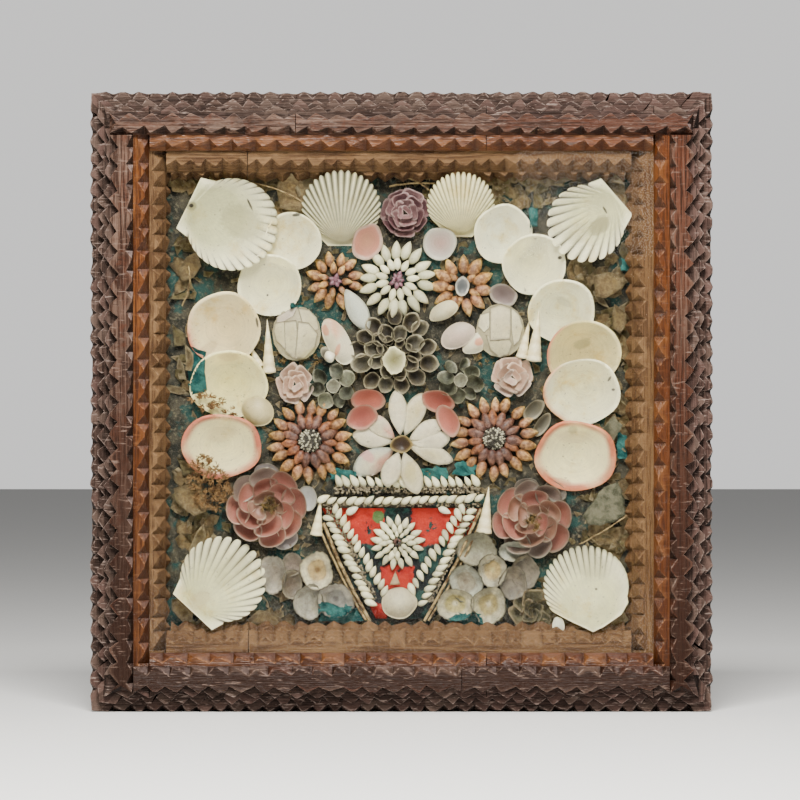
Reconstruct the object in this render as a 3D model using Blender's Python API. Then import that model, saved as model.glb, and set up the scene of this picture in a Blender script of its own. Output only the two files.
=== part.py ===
"""Shellwork picture in a glazed, chip-carved shadow box.

A bouquet of shells in an urn lies on a board at the bottom of a shallow wooden case. The front of the
case carries four stepped tiers of notched rails round a pane of glass, and two rows of notched lining
step down from the glass to the board. The front faces -Y, +Z is up, and the origin is at the middle of
the bounding box's underside. Everything is in metres.
"""
from collections import namedtuple
import math

import bmesh
import bpy
from mathutils import Matrix, Vector

# Whole object
WIDTH = 0.460
HEIGHT = 0.458
GAP = 0.0003                # left between touching pieces

# Depths, front to back
TIER_THICKNESS = 0.0055
TIER_STEP = TIER_THICKNESS + GAP
GLASS_THICKNESS = 0.0020
LINING_THICKNESS = 0.0080
CASE_DEPTH = 0.0218
SHELL_BOARD_THICKNESS = 0.0030
BACKBOARD_THICKNESS = 0.0087
DEPTH = 4 * TIER_STEP + CASE_DEPTH + GAP + BACKBOARD_THICKNESS

# How far each piece's edges lie inside the outer edge of the frame
TERRACE = 0.0050            # each tier's outer edge lies this far inside the one behind it
REBATE_EDGE = 0.0395        # inner edge of the two back tiers, which holds the glass
LEDGE_EDGE = 0.0440         # inner edge of the ledge in front of the glass
RIDGE_EDGE = 0.0325         # inner edge of the front tier
UPPER_LINING_EDGES = {"left": 0.0560, "right": 0.0600, "top": 0.0596, "bottom": 0.0600}
LOWER_LINING_EDGES = {"left": 0.0590, "right": 0.0645, "top": 0.0660, "bottom": 0.0665}
WALL_SETBACK = 0.0020
WALL_THICKNESS = 0.0090

# Shellwork
SHELL_WALL = 0.0014
SHELL_WAIST = 0.58          # how far out the ring between a shell's middle and rim lies
DISC_HOLLOW = 0.11          # a disc shell's depth over its width
URN_TOP_HALF_WIDTH = 0.0580
URN_FOOT_HALF_WIDTH = 0.0190
URN_TOP = 0.1500
URN_FOOT = 0.0680
URN_THICKNESS = 0.0060
URN_BORDER = 0.0110         # raised border round the urn's sunk middle
URN_SINK = 0.0040

FRONT = -DEPTH / 2
TIER_FRONT = {"ridge": FRONT, "ledge": FRONT + TIER_STEP,
              "second": FRONT + 2 * TIER_STEP, "base": FRONT + 3 * TIER_STEP}
CASE_FRONT = FRONT + 4 * TIER_STEP
CASE_BACK = CASE_FRONT + CASE_DEPTH
SHELL_BOARD_FRONT = CASE_BACK - SHELL_BOARD_THICKNESS

Notches = namedtuple("Notches", "pitch depth front_inset back_inset start stop", defaults=(0.0, 0.0))
Outline = namedtuple("Outline", "low_x low_z high_x high_z")

# The chip-cut notches, by the edge they run along
BASE_OUTER_CUT = Notches(0.0120, 0.0052, 0.0, 0.0012)
SECOND_OUTER_CUT = Notches(0.0120, 0.0052, 0.0, 0.0)
FRONT_OUTER_CUT = Notches(0.0157, 0.0052, 0.0, 0.0)
LEDGE_INNER_CUT = Notches(0.0160, 0.0056, 0.0034, 0.0)
RIDGE_INNER_CUT = Notches(0.0152, 0.0052, 0.0022, 0.0)
UPPER_LINING_CUT = Notches(0.0124, 0.0052, 0.0050, 0.0)
LOWER_LINING_CUT = Notches(0.0124, 0.0050, 0.0045, 0.0)
BAND_CUT = Notches(0.0070, 0.0012, 0.0, 0.0)

for stale in list(bpy.data.objects):
    bpy.data.objects.remove(stale)


def finish(name, colour, roughness, transmission=0.0):
    """A plain Principled material."""
    material = bpy.data.materials.new(name)
    material.use_nodes = True
    shader = material.node_tree.nodes["Principled BSDF"]
    shader.inputs["Base Color"].default_value = (*colour, 1.0)
    shader.inputs["Roughness"].default_value = roughness
    shader.inputs["Metallic"].default_value = 0.0
    shader.inputs["Transmission Weight"].default_value = transmission
    material.diffuse_color = (*colour, 1.0)
    return material


WEATHERED_WOOD = finish("weathered_wood", (0.115, 0.062, 0.045), 0.62)
AMBER_WOOD = finish("amber_wood", (0.330, 0.120, 0.035), 0.38)
RAW_WOOD = finish("raw_wood", (0.360, 0.230, 0.120), 0.70)
CRATE_WOOD = finish("crate_wood", (0.300, 0.190, 0.110), 0.75)
PAPER = finish("teal_paper", (0.070, 0.120, 0.105), 0.85)
RED_PAPER = finish("red_paper", (0.480, 0.040, 0.025), 0.60)
GLASS = finish("glass", (0.930, 0.960, 0.950), 0.03, transmission=1.0)
IVORY_SHELL = finish("ivory_shell", (0.720, 0.680, 0.530), 0.35)
CREAM_SHELL = finish("cream_shell", (0.740, 0.690, 0.560), 0.32)
WHITE_SHELL = finish("white_shell", (0.700, 0.690, 0.620), 0.35)
BROWN_SHELL = finish("brown_shell", (0.380, 0.210, 0.120), 0.38)
GREY_SHELL = finish("grey_shell", (0.260, 0.250, 0.210), 0.50)
MAUVE_SHELL = finish("mauve_shell", (0.420, 0.200, 0.190), 0.36)
PURPLE_SHELL = finish("purple_shell", (0.240, 0.150, 0.180), 0.40)


def add_object(name, mesh, material, smooth=False):
    """Close a bmesh into a named object with its faces pointing out."""
    bmesh.ops.recalc_face_normals(mesh, faces=mesh.faces)
    data = bpy.data.meshes.new(name)
    mesh.to_mesh(data)
    mesh.free()
    data.materials.append(material)
    if smooth:
        data.shade_smooth()
        data.set_sharp_from_angle(angle=math.radians(40))
    piece = bpy.data.objects.new(name, data)
    bpy.context.collection.objects.link(piece)
    return piece


def add_box(name, low, high, material):
    """A plain board from its lowest and highest corners."""
    mesh = bmesh.new()
    size = Vector(high) - Vector(low)
    centre = (Vector(high) + Vector(low)) / 2
    bmesh.ops.create_cube(mesh, size=1.0, matrix=Matrix.Translation(centre) @ Matrix.Diagonal((*size, 1.0)))
    return add_object(name, mesh, material)


def notched_board(name, outline, front, back, cuts, material):
    """A flat board with a row of V notches cut down some of its edges.

    Each notch is a valley in the front face that runs out at the back of the edge. cuts maps a side's
    name to its Notches; start and stop are the plain stretches at the side's ends.
    """
    mesh = bmesh.new()
    corners = [Vector((outline.low_x, outline.low_z)), Vector((outline.high_x, outline.low_z)),
               Vector((outline.high_x, outline.high_z)), Vector((outline.low_x, outline.high_z))]
    sides = ("bottom", "right", "top", "left")
    along = [(corners[(i + 1) % 4] - corners[i]).normalized() for i in range(4)]
    inward = [Vector((-way.y, way.x)) for way in along]

    def vertex(point, depth):
        return mesh.verts.new((point.x, depth, point.y))

    def inset_corner(i, which):
        """Corner i, moved in by the edges that are notched right up to it."""
        point = corners[i].copy()
        before = cuts.get(sides[i - 1])
        after = cuts.get(sides[i])
        if before and before.stop == 0:
            point += inward[i - 1] * getattr(before, which)
        if after and after.start == 0:
            point += inward[i] * getattr(after, which)
        return point

    front_corners = [vertex(inset_corner(i, "front_inset"), front) for i in range(4)]
    rim_corners = [vertex(inset_corner(i, "back_inset"), back) for i in range(4)]
    front_loop = []
    rim_sides = []
    for i, side in enumerate(sides):
        start_front, end_front = front_corners[i], front_corners[(i + 1) % 4]
        start_rim, end_rim = rim_corners[i], rim_corners[(i + 1) % 4]
        notches = cuts.get(side)
        if notches is None:
            mesh.faces.new((start_front, end_front, end_rim, start_rim))
            front_loop.append(start_front)
            rim_sides.append([start_rim])
            continue
        length = (corners[(i + 1) % 4] - corners[i]).length
        stretch = length - notches.start - notches.stop
        count = max(1, round(stretch / notches.pitch))
        step = stretch / count

        def place(distance, inset):
            return corners[i] + along[i] * distance + inward[i] * inset

        front_row = [start_front]
        rim_row = [start_rim]
        tip = start_front
        if notches.start > 0:
            plain_front = vertex(place(notches.start, 0), front)
            plain_rim = vertex(place(notches.start, notches.back_inset), back)
            mesh.faces.new((start_front, plain_front, plain_rim, start_rim))
            tip = vertex(place(notches.start, notches.front_inset), front)
            mesh.faces.new((plain_front, tip, plain_rim))
            front_row += [plain_front, tip]
            rim_row.append(plain_rim)
        last_tip = end_front
        last_rim = end_rim
        if notches.stop > 0:
            last_tip = vertex(place(length - notches.stop, notches.front_inset), front)
            last_rim = vertex(place(length - notches.stop, notches.back_inset), back)
        rim = rim_row[-1]
        for number in range(count):
            middle = notches.start + (number + 0.5) * step
            valley = vertex(place(middle, notches.front_inset + notches.depth), front)
            foot = vertex(place(middle, notches.back_inset), back)
            if number == count - 1:
                next_tip = last_tip
            else:
                next_tip = vertex(place(middle + step / 2, notches.front_inset), front)
            mesh.faces.new((tip, foot, rim))
            mesh.faces.new((tip, valley, foot))
            mesh.faces.new((valley, next_tip, foot))
            front_row += [valley, next_tip]
            rim_row.append(foot)
            tip, rim = next_tip, foot
        mesh.faces.new((tip, last_rim, rim))
        if notches.stop > 0:
            plain_front = vertex(place(length - notches.stop, 0), front)
            mesh.faces.new((tip, plain_front, last_rim))
            mesh.faces.new((plain_front, end_front, end_rim, last_rim))
            front_row.append(plain_front)
            rim_row.append(last_rim)
        else:
            front_row.pop()
        front_loop += front_row
        rim_sides.append(rim_row)
    mesh.faces.new(front_loop)
    mesh.faces.new([vert for rim_row in rim_sides for vert in rim_row])
    return add_object(name, mesh, material)


def butted_frame(name, outer, inner, front, back, outer_cut, inner_cut, material, sides_through=False):
    """Four butted rails, notched round the outside and perhaps inside.

    Either the top rail runs right across with the bottom one between the sides, or the sides run the
    full height with the top and bottom rails between them.
    """
    half = WIDTH / 2
    width = inner - outer
    between_left, between_right = -half + inner + GAP, half - inner - GAP
    side_top = HEIGHT - outer if sides_through else HEIGHT - inner - GAP
    cuts = {
        "top": {"top": outer_cut},
        "bottom": {"bottom": outer_cut},
        "left": {"left": outer_cut, "bottom": outer_cut},
        "right": {"right": outer_cut, "bottom": outer_cut},
    }
    if sides_through:
        cuts["left"]["top"] = outer_cut
        cuts["right"]["top"] = outer_cut
    else:
        cuts["top"]["left"] = outer_cut
        cuts["top"]["right"] = outer_cut
    if inner_cut:
        side_end = width if sides_through else 0.0
        cuts["top"]["bottom"] = inner_cut._replace(start=width - side_end, stop=width - side_end)
        cuts["bottom"]["top"] = inner_cut
        cuts["left"]["right"] = inner_cut._replace(start=width, stop=side_end)
        cuts["right"]["left"] = inner_cut._replace(start=side_end, stop=width)
    top_left, top_right = (between_left, between_right) if sides_through else (-half + outer, half - outer)
    outlines = {
        "top": Outline(top_left, HEIGHT - inner, top_right, HEIGHT - outer),
        "bottom": Outline(between_left, outer, between_right, inner),
        "left": Outline(-half + outer, outer, -half + inner, side_top),
        "right": Outline(half - inner, outer, half - outer, side_top),
    }
    for side, outline in outlines.items():
        notched_board(f"{name}_{side}", outline, front, back, cuts[side], material)


def lining_frame(name, outer, edges, front, back, cut, material):
    """Four lining strips inside the case: the sides run the full height, the others lie between."""
    half = WIDTH / 2
    left, right, top, bottom = (edges[side] for side in ("left", "right", "top", "bottom"))
    boards = {
        "left": (Outline(-half + outer, outer, -half + left, HEIGHT - outer),
                 {"right": cut._replace(start=bottom - outer, stop=top - outer)}),
        "right": (Outline(half - right, outer, half - outer, HEIGHT - outer),
                  {"left": cut._replace(start=top - outer, stop=bottom - outer)}),
        "top": (Outline(-half + left + GAP, HEIGHT - top, half - right - GAP, HEIGHT - outer),
                {"bottom": cut}),
        "bottom": (Outline(-half + left + GAP, outer, half - right - GAP, bottom), {"top": cut}),
    }
    for side, (outline, cuts) in boards.items():
        notched_board(f"{name}_{side}", outline, front, back, cuts, material)


# The four stepped tiers of the frame, back to front
butted_frame("base_tier", 0.0, REBATE_EDGE, TIER_FRONT["base"], TIER_FRONT["base"] + TIER_THICKNESS,
             BASE_OUTER_CUT, None, WEATHERED_WOOD)
butted_frame("second_tier", TERRACE, REBATE_EDGE, TIER_FRONT["second"],
             TIER_FRONT["second"] + TIER_THICKNESS, SECOND_OUTER_CUT, None, WEATHERED_WOOD)
butted_frame("ledge_tier", 2 * TERRACE, LEDGE_EDGE, TIER_FRONT["ledge"],
             TIER_FRONT["ledge"] + TIER_THICKNESS, FRONT_OUTER_CUT, LEDGE_INNER_CUT, AMBER_WOOD,
             sides_through=True)
butted_frame("ridge_tier", 3 * TERRACE, RIDGE_EDGE, TIER_FRONT["ridge"],
             TIER_FRONT["ridge"] + TIER_THICKNESS, FRONT_OUTER_CUT, RIDGE_INNER_CUT, WEATHERED_WOOD)

# The glass, in the rebate behind the ledge, and the notched lining that steps down behind it
glass_edge = REBATE_EDGE + GAP
glass_front = TIER_FRONT["second"]
wall_outer = WIDTH / 2 - WALL_SETBACK
wall_inner = wall_outer - WALL_THICKNESS
wall_top = HEIGHT - WALL_SETBACK
wall_bottom = WALL_SETBACK
add_box("glass_pane", (-WIDTH / 2 + glass_edge, glass_front, glass_edge),
        (WIDTH / 2 - glass_edge, glass_front + GLASS_THICKNESS, HEIGHT - glass_edge), GLASS)
lining_frame("upper_lining", glass_edge, UPPER_LINING_EDGES, glass_front + GLASS_THICKNESS + GAP,
             CASE_FRONT - GAP, UPPER_LINING_CUT, RAW_WOOD)
lining_frame("lower_lining", WALL_SETBACK + WALL_THICKNESS + GAP, LOWER_LINING_EDGES, CASE_FRONT,
             CASE_FRONT + LINING_THICKNESS, LOWER_LINING_CUT, RAW_WOOD)

# The case: four butted walls, the board that carries the shells, and the nailed backboard
for side, sign in (("left", -1), ("right", 1)):
    edges = sorted((sign * wall_outer, sign * wall_inner))
    add_box(f"case_wall_{side}", (edges[0], CASE_FRONT, wall_bottom + WALL_THICKNESS + GAP),
            (edges[1], CASE_BACK, wall_top - WALL_THICKNESS - GAP), CRATE_WOOD)
add_box("case_wall_top", (-wall_outer, CASE_FRONT, wall_top - WALL_THICKNESS),
        (wall_outer, CASE_BACK, wall_top), CRATE_WOOD)
add_box("case_wall_bottom", (-wall_outer, CASE_FRONT, wall_bottom),
        (wall_outer, CASE_BACK, wall_bottom + WALL_THICKNESS), CRATE_WOOD)
add_box("shell_board", (-wall_inner + GAP, SHELL_BOARD_FRONT, wall_bottom + WALL_THICKNESS + GAP),
        (wall_inner - GAP, CASE_BACK, wall_top - WALL_THICKNESS - GAP), PAPER)
add_box("backboard", (-WIDTH / 2, CASE_BACK + GAP, 0.0),
        (WIDTH / 2, CASE_BACK + GAP + BACKBOARD_THICKNESS, HEIGHT), CRATE_WOOD)


def disc_outline(width, height, points=12):
    """An oval shell's rim."""
    return [Vector((width / 2 * math.cos(turn), height / 2 * math.sin(turn)))
            for turn in (2 * math.pi * i / points for i in range(points))]


def scallop_outline(radius, ribs=12, flute=0.04):
    """A scallop's rim: a fluted fan, straight shoulders, and a hinge line with two ears at +v."""
    fan_end = math.radians(50)              # from the hinge to where the flutes begin
    ear_reach = 0.55 * radius               # half the hinge line
    ear_root = 0.76 * radius
    ear_top = 1.02 * radius
    points = []
    stations = 2 * ribs + 1
    for i in range(stations):
        turn = math.pi / 2 + fan_end + (2 * math.pi - 2 * fan_end) * i / (stations - 1)
        reach = radius * (1.0 - flute * ((i + 1) % 2))
        points.append(Vector((reach * math.cos(turn), reach * math.sin(turn))))
    return points + [Vector((ear_reach, ear_root)), Vector((ear_reach, ear_top)),
                     Vector((-ear_reach, ear_top)), Vector((-ear_reach, ear_root))]


def shell(name, rim, depth, centre, material, turn=0.0, tilt=0.0, toward=90.0, lift=0.0, domed=False):
    """One thin shell on the board: a bowl with its hollow to the front, or a dome with its back to it.

    rim is drawn round the centre. turn turns the shell in the picture's plane, and tilt raises the edge
    that lies toward that direction, both in degrees; lift raises the whole shell.
    """
    mesh = bmesh.new()
    turned = Matrix.Rotation(math.radians(turn), 4, "Z")
    hinge = Matrix.Rotation(math.radians(toward), 4, "Z") @ Vector((0.0, 1.0, 0.0))
    tilted = Matrix.Rotation(math.radians(-tilt), 4, hinge)

    def level(reach, drop):
        height = depth * (1 - reach ** 2) if domed else depth * reach ** 2
        return [mesh.verts.new(tilted @ (turned @ Vector((p.x * reach, p.y * reach, height - drop))))
                for p in rim]

    skins = []
    for drop in (0.0, SHELL_WALL):
        pole = mesh.verts.new(tilted @ Vector((0.0, 0.0, (depth if domed else 0.0) - drop)))
        waist = level(SHELL_WAIST, drop)
        edge = level(1.0, drop)
        for i, vert in enumerate(waist):
            after = (i + 1) % len(rim)
            mesh.faces.new((pole, vert, waist[after]))
            mesh.faces.new((vert, edge[i], edge[after], waist[after]))
        skins.append(edge)
    for i in range(len(rim)):
        after = (i + 1) % len(rim)
        mesh.faces.new((skins[0][i], skins[1][i], skins[1][after], skins[0][after]))
    lowest = min(vert.co.z for vert in mesh.verts)
    for vert in mesh.verts:
        across, up, forward = vert.co
        rise = forward - lowest + GAP + lift
        vert.co = (centre[0] + across, SHELL_BOARD_FRONT - rise, centre[1] + up)
    return add_object(name, mesh, material, smooth=True)


# Scallops: four in the corners, hollow side out and hinge raised over the lining, and two fans at the
# top with their backs out
for corner, radius, centre, hinge, tilt, lift in (
        ("top_left", 0.0335, (-0.1266, 0.3609), 154, 9, 0.0070),
        ("top_right", 0.0285, (0.1375, 0.3620), 41, 6, 0.0040),
        ("bottom_left", 0.0320, (-0.1340, 0.0955), 227, 18, 0.0012),
        ("bottom_right", 0.0315, (0.1365, 0.0915), 282, 20, 0.0012)):
    shell(f"scallop_{corner}", scallop_outline(radius), 0.0110, centre, IVORY_SHELL,
          turn=hinge - 90, tilt=tilt, toward=hinge, lift=lift)
shell("scallop_fan_left", scallop_outline(0.0280), 0.0090, (-0.0446, 0.3700), GREY_SHELL, turn=180,
      tilt=22, domed=True)
shell("scallop_fan_right", scallop_outline(0.0245), 0.0080, (0.0440, 0.3755), IVORY_SHELL, turn=180,
      tilt=22, lift=0.0015, domed=True)

# Disc shells: two runs that lap like shingles, each raised over the one before it
LEFT_DISCS = ((0.0428, 0.0428, (-0.0800, 0.3490), 10, 60, 0.0040),
              (0.0487, 0.0465, (-0.0970, 0.3173), 14, 60, 0.0),
              (0.0561, 0.0546, (-0.1303, 0.2850), 14, 45, 0.0),
              (0.0583, 0.0517, (-0.1280, 0.2445), 15, 90, 0.0),
              (0.0598, 0.0465, (-0.1336, 0.1978), 10, 90, 0.0))
RIGHT_DISCS = ((0.0435, 0.0443, (0.0742, 0.3550), 14, 120, 0.0040),
               (0.0487, 0.0465, (0.0967, 0.3328), 20, 135, 0.0),
               (0.0502, 0.0502, (0.1177, 0.2982), 18, 120, 0.0),
               (0.0554, 0.0531, (0.1339, 0.2672), 20, 115, 0.0),
               (0.0568, 0.0531, (0.1339, 0.2398), 22, 90, 0.0010),
               (0.0613, 0.0539, (0.1292, 0.1910), 14, 90, 0.0))
for run, discs in (("left", LEFT_DISCS), ("right", RIGHT_DISCS)):
    for number, (width, height, centre, tilt, toward, lift) in enumerate(discs, start=1):
        shell(f"disc_shell_{run}_{number}", disc_outline(width, height), DISC_HOLLOW * width, centre,
              CREAM_SHELL, tilt=tilt, toward=toward, lift=lift)


def flower(name, centre, radius, petals, crown, edge, waist, material):
    """A flower of glued shells: pointed petals round a raised middle, flat where it is glued down."""
    mesh = bmesh.new()
    stations = 2 * petals
    floor = SHELL_BOARD_FRONT - GAP

    def ring(reach_tip, reach_gap, rise):
        verts = []
        for i in range(stations):
            turn = 2 * math.pi * i / stations
            reach = radius * (reach_gap if i % 2 else reach_tip)
            verts.append(mesh.verts.new((centre[0] + reach * math.cos(turn), floor - rise,
                                         centre[1] + reach * math.sin(turn))))
        return verts

    pole = mesh.verts.new((centre[0], floor - crown, centre[1]))
    middle = ring(0.45, 0.40, (crown + edge) / 2)
    rim = ring(1.0, waist, edge)
    base = ring(1.0, waist, 0.0)
    for i in range(stations):
        after = (i + 1) % stations
        mesh.faces.new((pole, middle[i], middle[after]))
        mesh.faces.new((middle[i], rim[i], rim[after], middle[after]))
        mesh.faces.new((rim[i], base[i], base[after], rim[after]))
    mesh.faces.new(base)
    return add_object(name, mesh, material)


flower("flower_white_daisy", (-0.0033, 0.3196), 0.0262, 17, 0.0100, 0.0040, 0.76, WHITE_SHELL)
flower("flower_brown_upper_left", (-0.0491, 0.3188), 0.0188, 12, 0.0100, 0.0040, 0.74, BROWN_SHELL)
flower("flower_brown_upper_right", (0.0451, 0.3147), 0.0205, 11, 0.0100, 0.0040, 0.70, BROWN_SHELL)
flower("flower_grey_cups", (-0.0055, 0.2640), 0.0248, 13, 0.0130, 0.0090, 0.84, GREY_SHELL)
flower("flower_long_petals", (-0.0001, 0.1978), 0.0350, 10, 0.0140, 0.0060, 0.66, WHITE_SHELL)
flower("flower_brown_lower_left", (-0.0680, 0.2000), 0.0305, 16, 0.0120, 0.0050, 0.80, BROWN_SHELL)
flower("flower_brown_lower_right", (0.0688, 0.2018), 0.0295, 16, 0.0120, 0.0050, 0.80, BROWN_SHELL)
flower("rose_mauve_left", (-0.1004, 0.1506), 0.0270, 9, 0.0170, 0.0070, 0.88, MAUVE_SHELL)
flower("rose_mauve_right", (0.0970, 0.1430), 0.0280, 9, 0.0170, 0.0070, 0.88, MAUVE_SHELL)
flower("rose_purple", (0.0023, 0.3690), 0.0155, 7, 0.0150, 0.0080, 0.92, PURPLE_SHELL)

# The urn: a red panel that tapers to the foot, and the band of small shells across its mouth
panel_front = SHELL_BOARD_FRONT - GAP
panel = bmesh.new()
urn_corners = ((-URN_FOOT_HALF_WIDTH, URN_FOOT), (URN_FOOT_HALF_WIDTH, URN_FOOT),
               (URN_TOP_HALF_WIDTH, URN_TOP), (-URN_TOP_HALF_WIDTH, URN_TOP))
panel_face = panel.faces.new([panel.verts.new((x, panel_front, z)) for x, z in urn_corners])
raised = bmesh.ops.extrude_face_region(panel, geom=[panel_face])
for vert in (item for item in raised["geom"] if isinstance(item, bmesh.types.BMVert)):
    vert.co.y -= URN_THICKNESS
panel.faces.ensure_lookup_table()
front_face = min(panel.faces, key=lambda face: face.calc_center_median().y)
bmesh.ops.inset_region(panel, faces=[front_face], thickness=URN_BORDER)
bmesh.ops.translate(panel, verts=front_face.verts, vec=(0.0, URN_SINK, 0.0))
add_object("urn_panel", panel, RED_PAPER)
notched_board("urn_band", Outline(-0.0590, 0.1515, 0.0600, 0.1612), panel_front - URN_THICKNESS,
              panel_front, {"bottom": BAND_CUT, "top": BAND_CUT}, WHITE_SHELL)
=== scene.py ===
"""Sailor's valentine: a shellwork bouquet in an urn, in a glazed, chip-carved shadow box."""
import math
import random

import bmesh
import bpy
from mathutils import Matrix, Vector
from mathutils.bvhtree import BVHTree


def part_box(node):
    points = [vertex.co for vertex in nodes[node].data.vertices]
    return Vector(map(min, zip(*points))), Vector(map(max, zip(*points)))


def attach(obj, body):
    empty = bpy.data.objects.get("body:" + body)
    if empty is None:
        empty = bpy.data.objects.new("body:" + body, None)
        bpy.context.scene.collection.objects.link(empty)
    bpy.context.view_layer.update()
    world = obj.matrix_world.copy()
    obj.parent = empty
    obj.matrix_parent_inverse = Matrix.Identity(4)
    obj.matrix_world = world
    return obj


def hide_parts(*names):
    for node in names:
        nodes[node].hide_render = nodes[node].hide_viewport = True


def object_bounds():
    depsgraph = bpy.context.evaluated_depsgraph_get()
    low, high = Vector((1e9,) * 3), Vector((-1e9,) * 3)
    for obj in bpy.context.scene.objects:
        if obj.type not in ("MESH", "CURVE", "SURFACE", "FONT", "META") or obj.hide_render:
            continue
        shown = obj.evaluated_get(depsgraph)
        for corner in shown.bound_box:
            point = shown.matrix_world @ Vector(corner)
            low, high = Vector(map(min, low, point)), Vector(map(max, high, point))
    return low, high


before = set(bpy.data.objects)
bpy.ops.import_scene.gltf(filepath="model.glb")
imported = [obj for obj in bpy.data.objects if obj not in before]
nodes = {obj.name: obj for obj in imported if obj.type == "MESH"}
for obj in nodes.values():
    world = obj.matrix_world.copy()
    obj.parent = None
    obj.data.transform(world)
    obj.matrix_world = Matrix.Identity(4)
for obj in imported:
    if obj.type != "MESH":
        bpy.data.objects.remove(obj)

cad_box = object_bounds()
collection = bpy.context.scene.collection


# ---------------------------------------------------------------------------------------------------
# Floor, light and camera. The box stands on a pale floor. A wide soft light hangs above it in
# front, so that the notches throw their shadows down, and a weaker one stands in front at the right.
floor_mesh = bpy.data.meshes.new("floor")
floor_mesh.from_pydata([(x, y, cad_box[0].z) for x, y in ((-9, -9), (9, -9), (9, 9), (-9, 9))], [],
    [(0, 1, 2, 3)])
floor = bpy.data.objects.new("floor", floor_mesh)
collection.objects.link(floor)
floor_paint = bpy.data.materials.new("pale_floor")
floor_paint.use_nodes = True
floor_shader = floor_paint.node_tree.nodes["Principled BSDF"]
floor_shader.inputs["Base Color"].default_value = (0.80, 0.80, 0.79, 1.0)
floor_shader.inputs["Roughness"].default_value = 0.8
floor_mesh.materials.append(floor_paint)

for light_name, place, aim, size, power in (
        ("soft_light_above", (-0.06, -1.68, 1.66), (0.0, 0.0, 0.20), (0.9, 0.6), 142.0),
        ("soft_light_front", (0.7, -2.6, 1.0), (0.0, 0.0, 0.25), (1.2, 1.2), 20.0)):
    lamp = bpy.data.lights.new(light_name, "AREA")
    lamp.shape = "RECTANGLE"
    lamp.size, lamp.size_y = size
    lamp.energy = power
    lamp.color = (1.0, 0.975, 0.925)
    holder = bpy.data.objects.new(light_name, lamp)
    holder.location = place
    holder.rotation_euler = (Vector(aim) - Vector(place)).to_track_quat("-Z", "Y").to_euler()
    collection.objects.link(holder)

studio = bpy.data.worlds.new("studio")
studio.use_nodes = True
glow = studio.node_tree.nodes["Background"]
glow.inputs["Color"].default_value = (0.90, 0.89, 0.88, 1.0)
seen = studio.node_tree.nodes.new("ShaderNodeLightPath").outputs["Is Camera Ray"]
strength = studio.node_tree.nodes.new("ShaderNodeMapRange")
studio.node_tree.links.new(seen, strength.inputs["Value"])
strength.inputs["To Min"].default_value = 0.26
strength.inputs["To Max"].default_value = 1.0
studio.node_tree.links.new(strength.outputs[0], glow.inputs["Strength"])
bpy.context.scene.world = studio

VIEW_WIDTH = 0.5904
CAMERA_DISTANCE = 3.6
camera_data = bpy.data.cameras.new("camera")
camera_data.sensor_width = 36.0
camera_data.lens = camera_data.sensor_width * CAMERA_DISTANCE / VIEW_WIDTH
camera_data.clip_end = 50.0
camera = bpy.data.objects.new("camera", camera_data)
camera.location = (-0.0011, -0.012 - CAMERA_DISTANCE, 0.2303)
camera.rotation_euler = (math.pi / 2, 0.0, 0.0)
collection.objects.link(camera)
bpy.context.scene.camera = camera


# ---------------------------------------------------------------------------------------------------
# Case and back: a shallow crate of sawn softwood boards, butted and nailed, closed by one wide board
# nailed on from behind. It was never varnished, and has gone brown and dusty.
class Wire:
    """The output of a node. Arithmetic and comparisons with it add maths nodes to its tree."""
    def __init__(self, tree, socket):
        self.tree, self.socket = tree, socket


def feed(value, socket):
    """Link a wire to an input socket, or set the socket to a plain value."""
    if isinstance(value, Wire):
        value.tree.links.new(value.socket, socket)
    else:
        socket.default_value = value


def plug(tree, kind, sockets=(), out=0, **options):
    """Add a node with its inputs fed and return one of its outputs."""
    node = tree.nodes.new(kind)
    for option, value in options.items():
        setattr(node, option, value)
    for key, value in dict(sockets).items():
        feed(value, node.inputs[key])
    return Wire(tree, node.outputs[out])


def tree_of(*values):
    return next(value.tree for value in values if isinstance(value, Wire))


def maths(operation, *values):
    return plug(tree_of(*values), "ShaderNodeMath", enumerate(values), operation=operation)


for sign, operation in (("add", "ADD"), ("sub", "SUBTRACT"), ("mul", "MULTIPLY"), ("truediv", "DIVIDE"),
                        ("pow", "POWER"), ("lt", "LESS_THAN"), ("gt", "GREATER_THAN")):
    setattr(Wire, f"__{sign}__", lambda one, other, way=operation: maths(way, one, other))
    setattr(Wire, f"__r{sign}__", lambda one, other, way=operation: maths(way, other, one))


def mapped(place, turn=(0.0, 0.0, 0.0), scale=(1.0, 1.0, 1.0)):
    return plug(place.tree, "ShaderNodeMapping", {"Vector": place, "Rotation": turn, "Scale": scale})


def noise(place, scale, detail=3.0, roughness=0.55):
    return plug(place.tree, "ShaderNodeTexNoise", {
        "Vector": place, "Scale": scale, "Detail": detail, "Roughness": roughness}, "Fac")


def spread(value, low_in, high_in, low_out=0.0, high_out=1.0):
    """Stretch a value from one range to another, smoothly and clamped."""
    return plug(value.tree, "ShaderNodeMapRange", {
        "Value": value, "From Min": low_in, "From Max": high_in, "To Min": low_out, "To Max": high_out},
        "Result", interpolation_type="SMOOTHSTEP")


def blend(share, first, second, way="MIX"):
    """Mix two colours, each a wire or a plain colour."""
    first, second = ((*tone, 1.0) if isinstance(tone, tuple) else tone for tone in (first, second))
    return plug(tree_of(share, first, second), "ShaderNodeMix", {"Factor": share, 6: first, 7: second}, 2,
                data_type="RGBA", blend_type=way)


def layered(colour, *layers):
    """Lay colours over one another; each layer is how strong it is and its colour."""
    for share, tone in layers:
        colour = blend(share, colour, tone)
    return colour


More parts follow.
